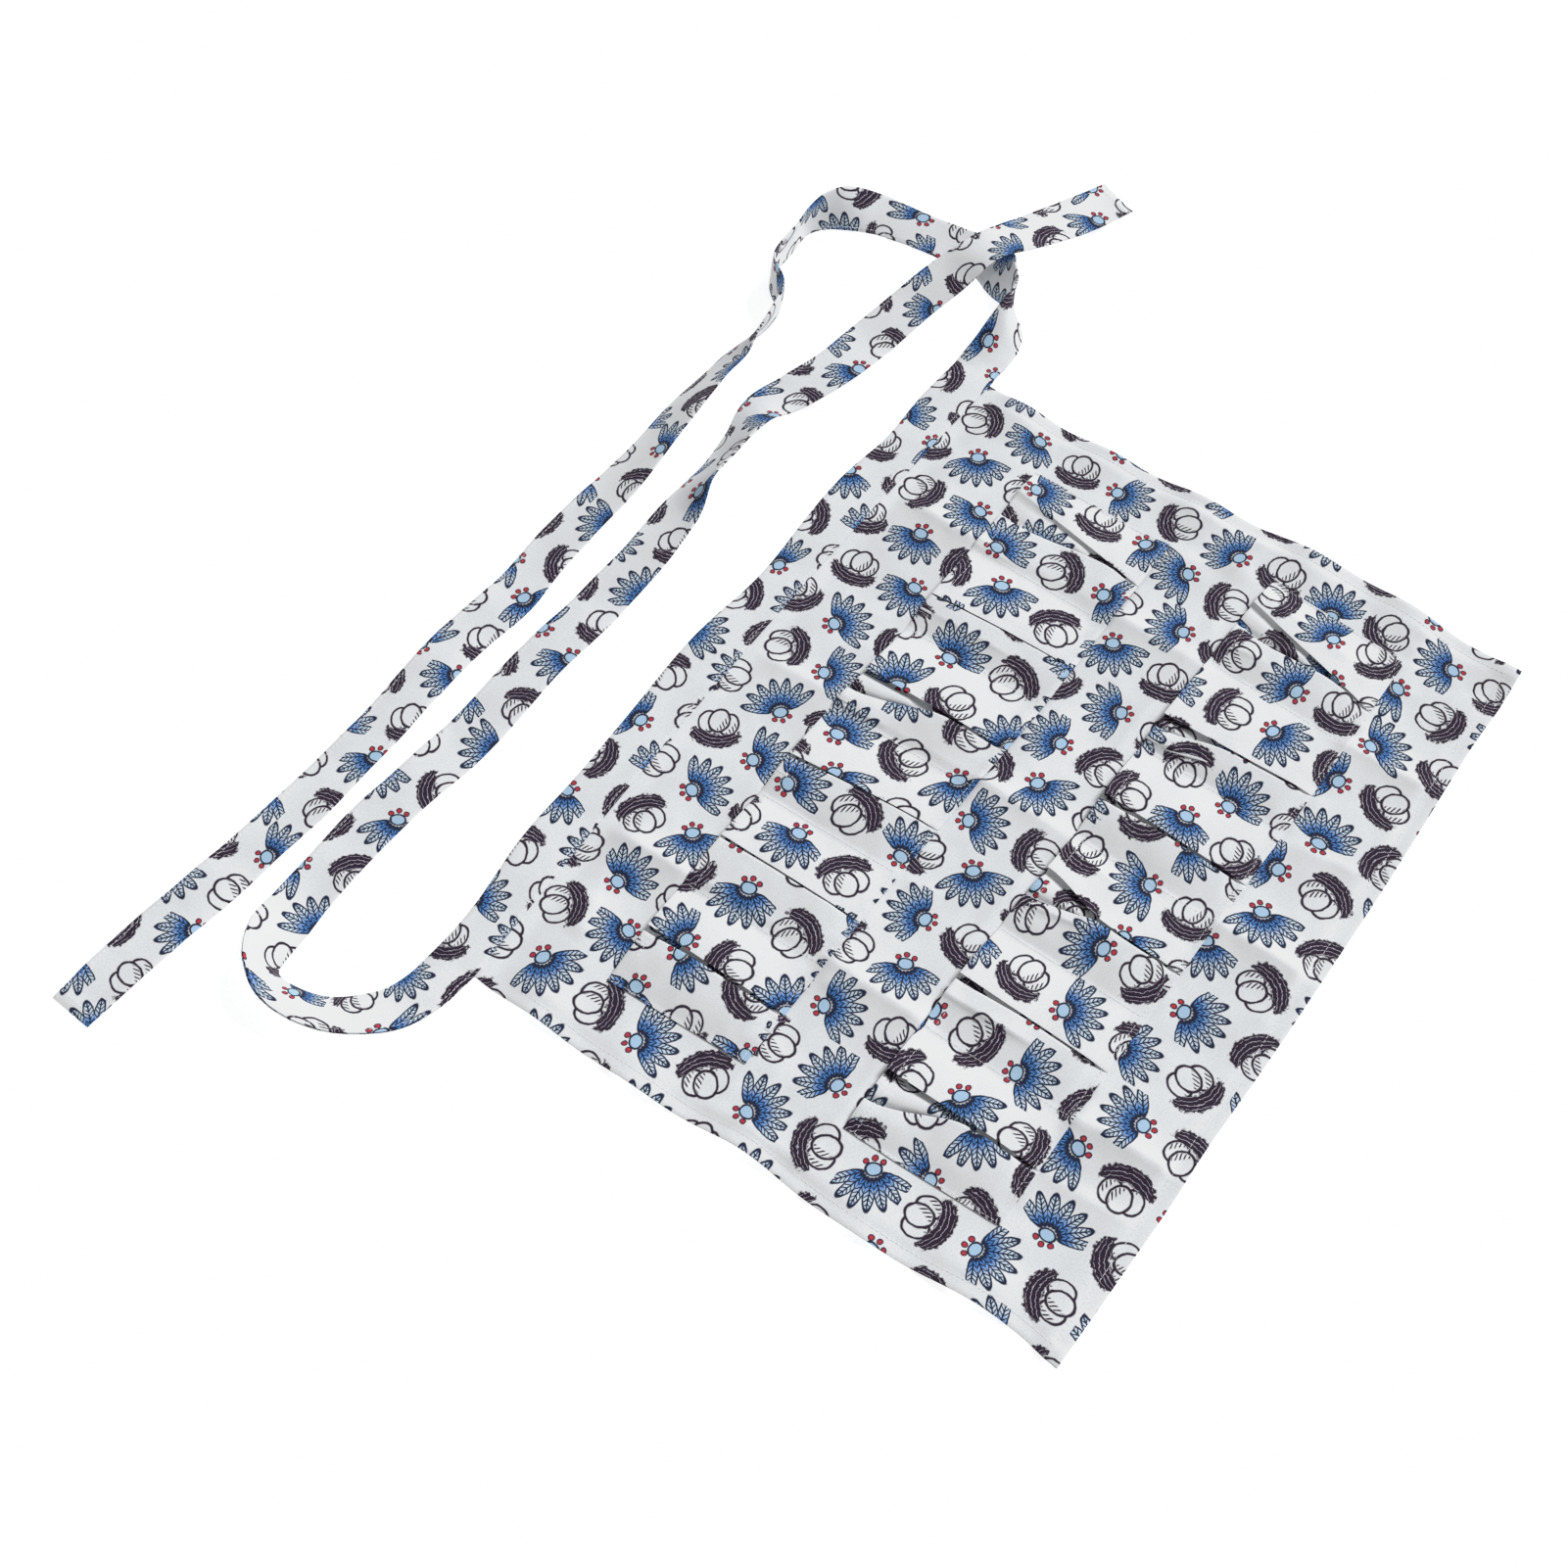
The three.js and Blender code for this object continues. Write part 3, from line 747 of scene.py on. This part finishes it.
def pocket_section(shape, height):
    """Across and up of one pocket's cloth at heights from 0, its bottom, to 1, its mouth."""
    v = height[:, None]
    full = np.interp(v, *zip(*FRONT_FULLNESS)) * shape["puff"]
    opened = smooth(shape["shut"], 1, v)
    ease = shape["ease"] * opened
    gap = shape["slot"] + (shape["gape"] - shape["slot"]) * opened
    spread = smooth(*OPEN_GAP, gap)
    crease_x = POCKET_PITCH / 2 + shape["offset"] + shape["lean"] * v + shape["flare"] * opened
    fold = crease_x - gap
    back = fold - np.minimum(PLEAT_DEPTH, fold - SEAM_ROOM)
    pitch = (LAYER + (PLEAT_PITCH - LAYER) * smooth(0, 0.25, v)) * (1 - ease) + LAYER * ease
    radius = pitch / 2
    crest = CREST_REST + CREST_HEIGHT * full * (1 - EASED_CREST * ease)
    bulge = LOBE_BULGE * full
    low = np.maximum(crest - CREST_STEP - OPEN_DROP * spread * full - 2 * pitch, 0)
    top = low + 2 * pitch

    s = np.linspace(0, 1, LOBE_STEPS + 1)[None, :-1]
    left_x = fold * s
    climb = np.clip((left_x - SEAM_FLANGE) / (fold - SEAM_FLANGE), 0, 1)
    left_z = climb**LEFT_CURVE * top + bulge * np.sin(np.pi * climb)
    a = np.linspace(0, np.pi, TURN_STEPS + 1)[None, :]
    edge_x, edge_z = fold + radius * np.sin(a), low + 3 * radius + radius * np.cos(a)
    m = np.linspace(0, 1, UNDER_STEPS + 1)[None, 1:-1]
    under_x, under_z = fold + (back - fold) * m, low + pitch + 0 * m
    inner_x, inner_z = back - radius * np.sin(a), low + radius + radius * np.cos(a)
    m = np.linspace(0, 1, UNDER_STEPS + 1)[None, 1:]
    below_x, below_z = back + (fold - back) * m, low + 0 * m
    facet_x, facet_z = pleat_facet(fold, crease_x, low, crest, PLEAT_UNDERCUT * full, spread, ease)
    r = np.linspace(0, 1, LOBE_STEPS + 1)[None, 1:]
    right_x = crease_x + (POCKET_PITCH - crease_x) * r
    fall = np.clip((right_x - crease_x) / (POCKET_PITCH - SEAM_FLANGE - crease_x), 0, 1)
    right_z = crest * (1 - fall) ** RIGHT_CURVE + bulge * np.sin(np.pi * fall)
    x = np.hstack([left_x, edge_x, under_x, inner_x, below_x, facet_x, right_x])
    z = np.hstack([left_z, edge_z, under_z, inner_z, below_z, facet_z, right_z])
    return x, z


def cloth_shares(x, z):
    """How far along a section's cloth each point is, from 0 to 1, row by row."""
    step = np.hypot(np.diff(x, axis=1), np.diff(z, axis=1))
    walk = np.hstack([np.zeros((len(x), 1)), np.cumsum(step, axis=1)])
    return walk / walk[:, -1:]


sample = pocket_section(dict(zip(POCKET_COLUMNS, POCKET_SHAPES["upper"][0])), np.array([0.0, 1.0]))
print("points across one pocket:", sample[0].shape[1])

# %% Lay out a strip
POCKET_ROWS = 45
# The heights of the two long seams, as shares of the pocket's height, and rows that pass through both
BASE_SEAM = 3 / POCKET_HEIGHT
MOUTH_SEAM = 1 - 6.5 / POCKET_HEIGHT
BODY_ROWS = np.unique(np.concatenate([np.linspace(0, 1, POCKET_ROWS), [BASE_SEAM, MOUTH_SEAM]]))
# Where each strip's corner lies on the printed cloth
PRINT_START = {"upper": (60.0, 900.0), "lower": (60.0, 700.0)}


def pocket_strip(row):
    """A strip's points and cut places, the column of each dividing seam, and the rows of its bottom hem."""
    parts_x, parts_z, parts_cut, seams = [], [], [], [0]
    for number, shape in enumerate(POCKET_SHAPES[row]):
        x, z = pocket_section(dict(zip(POCKET_COLUMNS, shape)), BODY_ROWS)
        first = 0 if number == 0 else 1
        parts_x.append(x[:, first:] + number * POCKET_PITCH)
        parts_z.append(z[:, first:])
        parts_cut.append((cloth_shares(x, z)[:, first:] + number) * PRINT_PER_POCKET)
        seams.append(seams[-1] + x.shape[1] - 1)
    x, z = np.hstack(parts_x), np.hstack(parts_z)
    length = np.hstack(parts_cut)
    v = BODY_ROWS[:, None]
    left, right = (np.interp(v, (0, 1), STRIP_LINES[row][end]) for end in ("left", "right"))
    x = left + (right - left) * x / (POCKETS_PER_ROW * POCKET_PITCH)
    base_y = strip_line(row, "base", x)
    y = base_y + (strip_line(row, "mouth", x) - base_y) * v
    seat = 2 * LAYER
    body = np.dstack([x, y, z])
    normal = normals_of(body)
    normal[..., 1] = 0
    normal /= np.linalg.norm(normal, axis=2, keepdims=True)

    def turned(row_points, row_normal, outward, depth):
        """A hem's turn and its run back inside, as rows that follow the last one."""
        made = []
        for angle in HEM_TURN[1:]:
            step = row_points - row_normal * LAYER / 2 * (1 - np.cos(angle))
            made.append(step + np.array([0, outward * LAYER / 2 * np.sin(angle), 0]))
        for back in np.linspace(0, depth, HEM_STEPS + 1)[1:]:
            made.append(row_points - row_normal * LAYER - np.array([0, outward * back, 0]))
        return made

    mouth = turned(body[-1], normal[-1], 1, MOUTH_HEM)
    base = turned(body[0], normal[0], -1, BOTTOM_HEM)
    points = np.concatenate([np.array(base[::-1]), body, np.array(mouth)])
    x, y = points[..., 0], points[..., 1]
    over_base = y - strip_line(row, "base", x)
    stand_off = np.maximum(-strip_line(row, "flush", x), 0) * (1 - smooth(2, 14, over_base))
    creases = sum(crease(x, y, shape) for shape in POCKET_CREASES[row])
    points[..., 2] += panel_height(x, y) + seat + stand_off + creases * smooth(2, 25, over_base)
    walk = np.linalg.norm(np.diff(points[:, 0], axis=0), axis=1)
    climb = np.concatenate([[0], np.cumsum(walk)])
    lengths = np.vstack([np.repeat(length[:1], len(base), 0), length, np.repeat(length[-1:], len(mouth), 0)])
    cut = np.dstack(np.broadcast_arrays(lengths, climb[:, None]))
    return points, cut, seams, len(base)


strips = {}
for row in ("upper", "lower"):
    points, cut, seams, hem_rows = pocket_strip(row)
    strip = cloth_sheet(row + "_pocket_strip", points, cut + np.array(PRINT_START[row]))
    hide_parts(*(f"{row}_pocket_{n + 1}" for n in range(POCKETS_PER_ROW)))
    strips[row] = {"piece": strip, "points": points, "seams": seams, "hem_rows": hem_rows}
    print(row, "strip's print", np.ptp(cut, axis=(0, 1)).round(0), "mm")

# %% [markdown]
# ## The waist strip
# Waistband and ties are one strip, folded in half along its length, its raw edges turned in and sewn
# together, with the panel's top edge caught between them. A curve with a profile would not turn its
# edges in, so the section is written out as a line through its layers and swept along the route. Rows
# of the route give its middle line, how far it leans and how high it is lifted where it crosses itself.

# %% The route of the strip
# Rows from the panel to the free end: x, y, lean in degrees and lift
LEFT_TIE = (
    (-275.5, 199, 0, 0),
    (-283, 199, 1, 0),
    (-301, 200, 5, 0),
    (-324.5, 209, 10, 0),
    (-348.5, 236, 29, 0),
    (-355, 265, 42, 0),
    (-348, 283.5, 60, 0),
    (-332, 291.5, 44, 0),
    (-302, 298, 4, 0),
    (-228, 299, 0, 0),
    (-158, 291.5, 0, 0),
    (-76, 290.5, -2, 0),
    (6, 286, -6, 0),
    (60, 288.5, -17, 0),
    (84, 290.5, -42, 0),
    (108, 290, -45, 0),
    (139, 292, -37, 0),
    (165.5, 294, -13, 2),
    (190, 285, -3, 5),
    (222, 275.5, -3, 6),
    (262, 269, 2, 6),
    (295, 264, 2, 8),
    (328, 255.5, 0, 15),
    (354, 247, -8, 20.5),
    (380, 237.5, -6, 18),
    (432, 219, 4, 5.5),
    (475.5, 203.5, 0, 0.3),
)
RIGHT_TIE = (
    (275.5, 199, 0, 0),
    (283, 199, 2, 0),
    (304, 197.5, 21, 0),
    (323.5, 199.5, 55, 0),
    (340.5, 207.5, 95, 0),
    (352, 225, 127, 0),
    (364.5, 243, 158, 0),
    (366.5, 280, 172, 0),
    (363, 310, 172, 0),
    (356, 335, 158, 0),
    (339, 352.5, 114, 0),
    (320, 363, 85, 0),
    (296.5, 362.5, 82, 0),
    (263, 358, 84, 0),
    (245, 338, 82, 0),
    (223, 334, 73, 0),
    (204, 335.5, 56, 0),
    (187, 335.5, 42, 0),
    (163, 336.5, 41, 0),
    (130, 337, 34, 0),
    (80, 335.5, 22, 0),
    (40, 336.5, 12, 0),
    (0, 338.5, 5, 0),
    (-50, 337, 0, 0),
    (-115, 341.5, 0, 0),
    (-190, 340, 0, 0),
    (-280, 344.5, 0, 0),
    (-360, 353, 0, 0),
    (-431, 358.2, 0, 0),
)
print("rows: left tie", len(LEFT_TIE), "right tie", len(RIGHT_TIE))

# %% Walk the route
ROUTE_STEP = 3.2

band_x = np.linspace(-225, 225, 10)
band = np.column_stack([band_x, waist_seam(band_x) + STRAP_WIDTH / 2, 0 * band_x, 0 * band_x])
# The strip is walked from the left tie's free end, so that tie is turned round
left_rows = np.array(LEFT_TIE, dtype=float)[::-1] * (1, 1, -1, 1)
route = np.vstack([left_rows, band, np.array(RIGHT_TIE, dtype=float)])
gaps = np.hypot(*np.diff(route[:, :2], axis=0).T)
at = np.concatenate(
    [k + np.arange(n) / n for k, n in enumerate(np.ceil(gaps / ROUTE_STEP).astype(int))] + [[len(gaps)]]
)
middle = through_rows(route[:, :2], at, 0.5)
lean, lift = through_rows(route[:, 2:], at, 0.0).T
walked = np.concatenate([[0], np.cumsum(np.hypot(*np.diff(middle, axis=0).T))])
print("strip length", walked[-1].round(0), "mm in", len(at), "rows")

# %% The strip's folded section
ALLOWANCE = 7.0
SEAM_LAYERS = 3 * LAYER
FOLD_GAP = 1.2
STITCH_INSET = 2.2
END_HEM = 7.0
END_PINCH = 0.8
FACE_STEPS = 13
ALLOWANCE_STEPS = 4
EDGE_WOBBLE = 0.8
BAND_FULLER = 0.3
BAND_BLEND = (6, 2)
CROWN = 0.35
CROWN_CHANGE = 0.25
# How much wider than its cut the strip lies, by the distance along it, and how far the waistband's folded
# edge stands out, by x
FULLNESS = ((0, 1.5), (300, 1.5), (430, 2), (830, 2), (930, 0), (1600, 0), (2100, 1), (2540, 1))
BAND_EDGE = (
    *((-275, 0), (-246, -2.5), (-228, -1.5), (-186, 4), (-156, 0.5), (-126, 0), (-21, 2.8), (8, 1)),
    *((45, -4.2), (83, -1.5), (140, 2.5), (162, 1.5), (195, -2.6), (225, -0.5), (248, 1), (275, 0)),
)


def strip_section():
    """For each point of the section: across, and its height as shares of the seam's, the fold's and 1."""
    half = STRAP_WIDTH / 2
    edge = -half + LAYER / 2
    face = np.unique(np.concatenate([np.linspace(0, 1, FACE_STEPS), [STITCH_INSET / STRAP_WIDTH]]))
    rows = []
    for a in np.linspace(edge + ALLOWANCE, edge, ALLOWANCE_STEPS)[:-1]:
        rows.append((a, 0, 0, 0, LAYER))
    for t in HEM_TURN[:-1]:
        rows.append((edge - LAYER / 2 * np.sin(t), 0, 0, 0, LAYER / 2 * (1 + np.cos(t))))
    for q in face[:-1]:
        rows.append((edge + (half - edge) * q, -0.5 * q, 0, 0, 0))
    for t in HEM_TURN[:-1]:
        rows.append((half, -0.5 + 0.5 * np.sin(t), 0, 0.5 * (1 - np.cos(t)), 0))
    for q in face[::-1][:-1]:
        share = smooth(0, 1, 1 - q)
        rows.append((edge + (half - edge) * q, -0.5 * q, share, 1 - share, 0))
    for t in HEM_TURN[:-1]:
        rows.append((edge - LAYER / 2 * np.sin(t), 0, 1, 0, LAYER / 2 * (np.cos(t) - 1)))
    for a in np.linspace(edge, edge + ALLOWANCE, ALLOWANCE_STEPS):
        rows.append((a, 0, 1, 0, -LAYER))
    return np.array(rows)


section = strip_section()
print("points round the section:", len(section))

# %% Bend the section along the strip
end_rows = (len(LEFT_TIE) - 1, len(LEFT_TIE) + len(band))
band_start, band_end = (walked[np.argmin(np.abs(at - row))] for row in end_rows)
s = walked[:, None]
outside, inside = BAND_BLEND
entered = smooth(band_start - outside, band_start + inside, s)
in_band = entered * (1 - smooth(band_end - inside, band_end + outside, s))
end_gap = np.minimum(s, walked[-1] - s)
seam_high = SEAM_LAYERS + LAYER * in_band
fold_high = FOLD_GAP + BAND_FULLER * in_band
loose = 1 - in_band
fuller = np.interp(s, *np.array(FULLNESS).T) / 2
fold_out = fuller + EDGE_WOBBLE * soft_noise(s, s * 0, 38, 50, 45)
fold_out = fold_out + soft_line(BAND_EDGE, middle[:, :1]) * in_band
seam_out = (fuller + EDGE_WOBBLE * soft_noise(s, s * 0, 33, 50, 46)) * loose
share = section[:, 0] / STRAP_WIDTH + 0.5
across = section[:, 0] + section[:, 1] * fold_high + fold_out * share - seam_out * (1 - share)
up = section[:, 2] * seam_high + section[:, 3] * fold_high + section[:, 4]
crown = CROWN + CROWN_CHANGE * soft_noise(s, s * 0, 60, 50, 41)
arch = np.sin(np.pi * np.clip(across / STRAP_WIDTH + 0.5, 0, 1))
up = up + crown * arch * section[:, 3] * loose
pinch = 1 - END_PINCH * (1 - smooth(0, 1.5, end_gap))
up = seam_high / 2 + (up - seam_high / 2) * pinch
print("width mm", np.ptp(across, axis=1).min().round(1), "to", np.ptp(across, axis=1).max().round(1))

# %% Sweep the section along the route
FLUTTER = 1.1
FINE_FLUTTER = 0.5
CUP = 1.6
WAIST_PRINT_START = (-60.0, 40.0)

tangent = np.gradient(middle, axis=0)
tangent /= np.linalg.norm(tangent, axis=1, keepdims=True)
level = np.column_stack([-tangent[:, 1], tangent[:, 0], 0 * lean])[:, None]
upright = np.array([0.0, 0.0, 1.0])
tilt = np.radians(lean)[:, None, None]
across_way = level * np.cos(tilt) + upright * np.sin(tilt)
face_way = upright * np.cos(tilt) - level * np.sin(tilt)
along = s + 0 * across
flutter = FLUTTER * soft_noise(along, across, 42, 26, 42)
flutter = flutter + FINE_FLUTTER * soft_noise(along, across, 17, 40, 43)
standing = CUP * np.abs(np.sin(tilt[..., 0]))
cup = standing * (1 - (across / STRAP_WIDTH * 2) ** 2) * soft_noise(s, s * 0, 55, 50, 44)
bend = (up - seam_high / 2 + (flutter + cup) * loose)[..., None]
waist_points = np.dstack([middle[:, 0], middle[:, 1], 0 * lean]).reshape(-1, 1, 3)
waist_points = waist_points + across[..., None] * across_way + bend * face_way
lowest = waist_points[..., 2].min(axis=1)
waist_points[..., 2] += (REST + THREAD + np.maximum(lift, 0) - lowest)[:, None]
section_walk = np.hypot(np.diff(across, axis=1), np.diff(up, axis=1)).mean(axis=0)
round_section = np.concatenate([[0], np.cumsum(section_walk)])
waist_cut = np.dstack(np.broadcast_arrays(round_section[None, :], s))
waist = cloth_sheet("waist_strip", waist_points, waist_cut + np.array(WAIST_PRINT_START))
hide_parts("waistband", *(f"tie_{side}_{n}" for side in ("left", "right") for n in range(1, 6)))
print("waist strip's print", np.ptp(waist_cut, axis=(0, 1)).round(0), "mm")

# %% [markdown]
# ## Thread
# Every hem and seam is sewn with white thread. A texture could fake it, but stitches stand on the cloth
# and catch the light, so one stitch is modelled and its mesh is copied along each line: along the
# cloth's own rows and columns, at its surface and turned to its normal.

# %% Model one stitch
STITCH_LENGTH = 2.5
STITCH_PITCH = 3.2
# Shares of the stitch that lie straight and that dip at each end, the dip in threads, and the end's taper
STRAIGHT_SHARE = 0.6
END_SHARE = 0.2
END_DIP = 0.6
END_TAPER = 0.6

bpy.ops.object.select_all(action="DESELECT")
bpy.ops.mesh.primitive_cylinder_add(
    vertices=6,
    radius=THREAD / 2 * MM,
    depth=STITCH_LENGTH * STRAIGHT_SHARE * MM,
    rotation=(0, np.pi / 2, 0),
)
one_stitch = bpy.context.object
bpy.ops.object.transform_apply(location=True, rotation=True, scale=True)
for end in (-1, 1):
    bpy.ops.object.mode_set(mode="EDIT")
    bpy.ops.mesh.select_all(action="DESELECT")
    bpy.ops.object.mode_set(mode="OBJECT")
    for face in one_stitch.data.polygons:
        face.select = bool(face.normal.x * end > 0.9)
    bpy.ops.object.mode_set(mode="EDIT")
    bpy.ops.mesh.select_mode(type="FACE")
    dip = (end * STITCH_LENGTH * END_SHARE * MM, 0, -THREAD * END_DIP * MM)
    bpy.ops.mesh.extrude_region_move(TRANSFORM_OT_translate={"value": dip})
    bpy.ops.transform.resize(value=(END_TAPER, END_TAPER, END_TAPER))
    bpy.ops.object.mode_set(mode="OBJECT")
stitch_points = np.array([tuple(v.co) for v in one_stitch.data.vertices])
stitch_faces = [tuple(face.vertices) for face in one_stitch.data.polygons]
bpy.data.objects.remove(one_stitch, do_unlink=True)
print("one stitch:", len(stitch_points), "points", len(stitch_faces), "faces")

# %% Thread material
THREAD_SHADE = (0.70, 0.71, 0.72, 1)
THREAD_LIGHT = (0.84, 0.85, 0.86, 1)

thread_material = bpy.data.materials.new("white_thread")
thread_material.use_nodes = True
thread_tree = thread_material.node_tree
thread_shader = thread_tree.nodes["Principled BSDF"]
thread_start = Signal(thread_tree)
place = thread_start.add("ShaderNodeTexCoord", {}, {}, output=3)
twist = thread_start.add("ShaderNodeTexNoise", {}, {"Vector": place, "Scale": 2500.0, "Detail": 1.0})
tone = thread_start.add(
    "ShaderNodeMix",
    {"data_type": "RGBA"},
    {0: twist, 6: THREAD_SHADE, 7: THREAD_LIGHT},
    output=2,
)
thread_tree.links.new(tone.socket, thread_shader.inputs["Base Color"])
thread_tree.links.new((0.6 + twist * 0.2).socket, thread_shader.inputs["Roughness"])
print("thread nodes:", len(thread_tree.nodes))

# %% Sew along lines of points
# How far ahead a stitch looks for its direction, and how far the thread stands off the cloth's face
LOOK_AHEAD = 0.8
STAND_OFF = 0.04


def stitch_line(points, normals):
    """Each stitch's place, direction and normal along a line on a cloth."""
    walk = np.concatenate([[0], np.cumsum(np.linalg.norm(np.diff(points, axis=0), axis=1))])
    count = int((walk[-1] - 1) / STITCH_PITCH)
    at = (np.arange(count) + 0.5) * STITCH_PITCH + 0.5
    spot = np.column_stack([np.interp(at, walk, points[:, k]) for k in range(3)])
    ahead = np.column_stack([np.interp(at + LOOK_AHEAD, walk, points[:, k]) for k in range(3)])
    facing = np.column_stack([np.interp(at, walk, normals[:, k]) for k in range(3)])
    facing /= np.linalg.norm(facing, axis=1, keepdims=True)
    way = ahead - spot
    way -= facing * (way * facing).sum(axis=1, keepdims=True)
    way /= np.linalg.norm(way, axis=1, keepdims=True)
    return spot + facing * (CLOTH / 2 + STAND_OFF), way, facing


def sew(name, lines):
    """One piece of thread that holds a copy of the stitch at each place of the lines."""
    spot, way, facing = (np.vstack(part) for part in zip(*lines))
    side = np.cross(facing, way)
    local = stitch_points / MM
    points = spot[:, None] + local[None, :, :1] * way[:, None] + local[None, :, 1:2] * side[:, None]
    points = points + local[None, :, 2:] * facing[:, None]
    count = len(stitch_points)
    faces = [tuple(k * count + v for v in face) for k in range(len(spot)) for face in stitch_faces]
    mesh = bpy.data.meshes.new(name)
    mesh.from_pydata((points.reshape(-1, 3) * MM).tolist(), [], faces)
    mesh.materials.append(thread_material)
    thread = bpy.data.objects.new(name, mesh)
    bpy.context.scene.collection.objects.link(thread)
    bpy.ops.object.select_all(action="DESELECT")
    thread.select_set(True)
    bpy.context.view_layer.objects.active = thread
    bpy.ops.object.shade_smooth()
    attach(thread, "root")
    print(name, "stitches", len(spot))
    return thread


# %% Sew the panel's hems
ROWS_NEAR_BAND = 14

panel_normals = normals_of(panel_points)
# A row and a column from the middle of the panel, away from its hems
cut_x, cut_y = panel_cut[60, :, 0], panel_cut[:, 100, 1]
left_column = int(np.argmin(np.abs(cut_x + HALF_WIDTH - HEM)))
right_column = int(np.argmin(np.abs(cut_x - HALF_WIDTH + HEM)))
hem_row = int(np.argmin(np.abs(cut_y + HALF_HEIGHT - HEM)))
last_row = len(cut_y) - ROWS_NEAR_BAND
hem_lines = [
    stitch_line(panel_points[hem_row:last_row, column], panel_normals[hem_row:last_row, column])
    for column in (left_column, right_column)
]
hem_lines.append(
    stitch_line(
        panel_points[hem_row, left_column : right_column + 1],
        panel_normals[hem_row, left_column : right_column + 1],
    )
)
hem_thread = sew("hem_thread", hem_lines)

# %% Sew the pockets
for row, strip in strips.items():
    points, hem_rows = strip["points"], strip["hem_rows"]
    facing = normals_of(points)
    mouth_row, base_row = (
        hem_rows + int(np.argmin(np.abs(BODY_ROWS - seam))) for seam in (MOUTH_SEAM, BASE_SEAM)
    )
    top_row = hem_rows + len(BODY_ROWS)
    lines = [stitch_line(points[k], facing[k]) for k in (mouth_row, base_row)]
    for seam in strip["seams"]:
        column = min(max(seam, 1), points.shape[1] - 2)
        lines.append(stitch_line(points[base_row:top_row, column], facing[base_row:top_row, column]))
    strip["thread"] = sew(row + "_pocket_thread", lines)

# %% Sew the strip's edges and ends
waist_normals = normals_of(waist_points)
edge_columns = [
    k
    for k in range(len(section))
    if abs(section[k, 0] + STRAP_WIDTH / 2 - STITCH_INSET) < 0.4 and k not in (0, len(section) - 1)
]
fold_column = int(np.argmax(section[:, 0]))
waist_lines = [stitch_line(waist_points[2:-2, k], waist_normals[2:-2, k]) for k in edge_columns]
for end_row in (np.argmin(np.abs(walked - END_HEM)), np.argmin(np.abs(walked[-1] - walked - END_HEM))):
    for run in (slice(edge_columns[0], fold_column - 1), slice(fold_column + 4, edge_columns[-1])):
        waist_lines.append(stitch_line(waist_points[end_row, run], waist_normals[end_row, run]))
waist_thread = sew("waist_thread", waist_lines)
print("stitched edge columns", edge_columns)

# %% [markdown]

# %% [markdown]
# ## Floor and light
# The apron lies on a plain pale floor that the photograph shows almost white. A broad, even lamp
# from the picture's right shapes the folds, and a bright sky fills the shadows. A photograph holds back
# its brightest tones, so a curve bends the highlights and keeps white cloth apart from the white floor.

# %% Floor
FLOOR_SIZE = 60
FLOOR_TONE = (0.30, 0.30, 0.30, 1)
FLOOR_GLOW = 0.80
WHITE = (1, 1, 1, 1)

bpy.ops.object.select_all(action="DESELECT")
bpy.ops.mesh.primitive_plane_add(size=FLOOR_SIZE)
floor = bpy.context.object
floor.name = "floor"
floor_material = bpy.data.materials.new("pale_floor")
floor_material.use_nodes = True
floor_shader = floor_material.node_tree.nodes["Principled BSDF"]
floor_shader.inputs["Base Color"].default_value = FLOOR_TONE
floor_shader.inputs["Roughness"].default_value = 0.9
floor_shader.inputs["Emission Color"].default_value = WHITE
floor_shader.inputs["Emission Strength"].default_value = FLOOR_GLOW
floor.data.materials.append(floor_material)
print("floor", tuple(floor.dimensions))

# %% Light
KEY_FROM = (0.65, -0.30, 0.72)
KEY_STRENGTH = 2.45
KEY_SPREAD = np.radians(22)
SKY = 0.275

bpy.ops.object.light_add(type="SUN", location=KEY_FROM)
key = bpy.context.object
key.data.energy = KEY_STRENGTH
key.data.angle = KEY_SPREAD
key.rotation_euler = (-key.location).to_track_quat("-Z", "Y").to_euler()
world = bpy.data.worlds.new("studio")
bpy.context.scene.world = world
world.use_nodes = True
sky = world.node_tree.nodes["Background"]
sky.inputs["Color"].default_value = WHITE
sky.inputs["Strength"].default_value = SKY
print("key from", KEY_FROM, "strength", KEY_STRENGTH, "sky", SKY)

# %% Bend the highlights
# How bright a surface is and how bright it is shown
SHOULDER = ((0.56, 0.69), (0.61, 0.78), (0.66, 0.83), (0.86, 0.89), (0.90, 1.0))

view = bpy.context.scene.view_settings
view.view_transform = "Standard"
view.use_curve_mapping = True
shoulder = view.curve_mapping.curves[3]
for bright, shown in SHOULDER:
    shoulder.points.new(bright, shown)
for point in shoulder.points:
    point.handle_type = "VECTOR"
view.curve_mapping.update()
print("curve points:", len(shoulder.points))
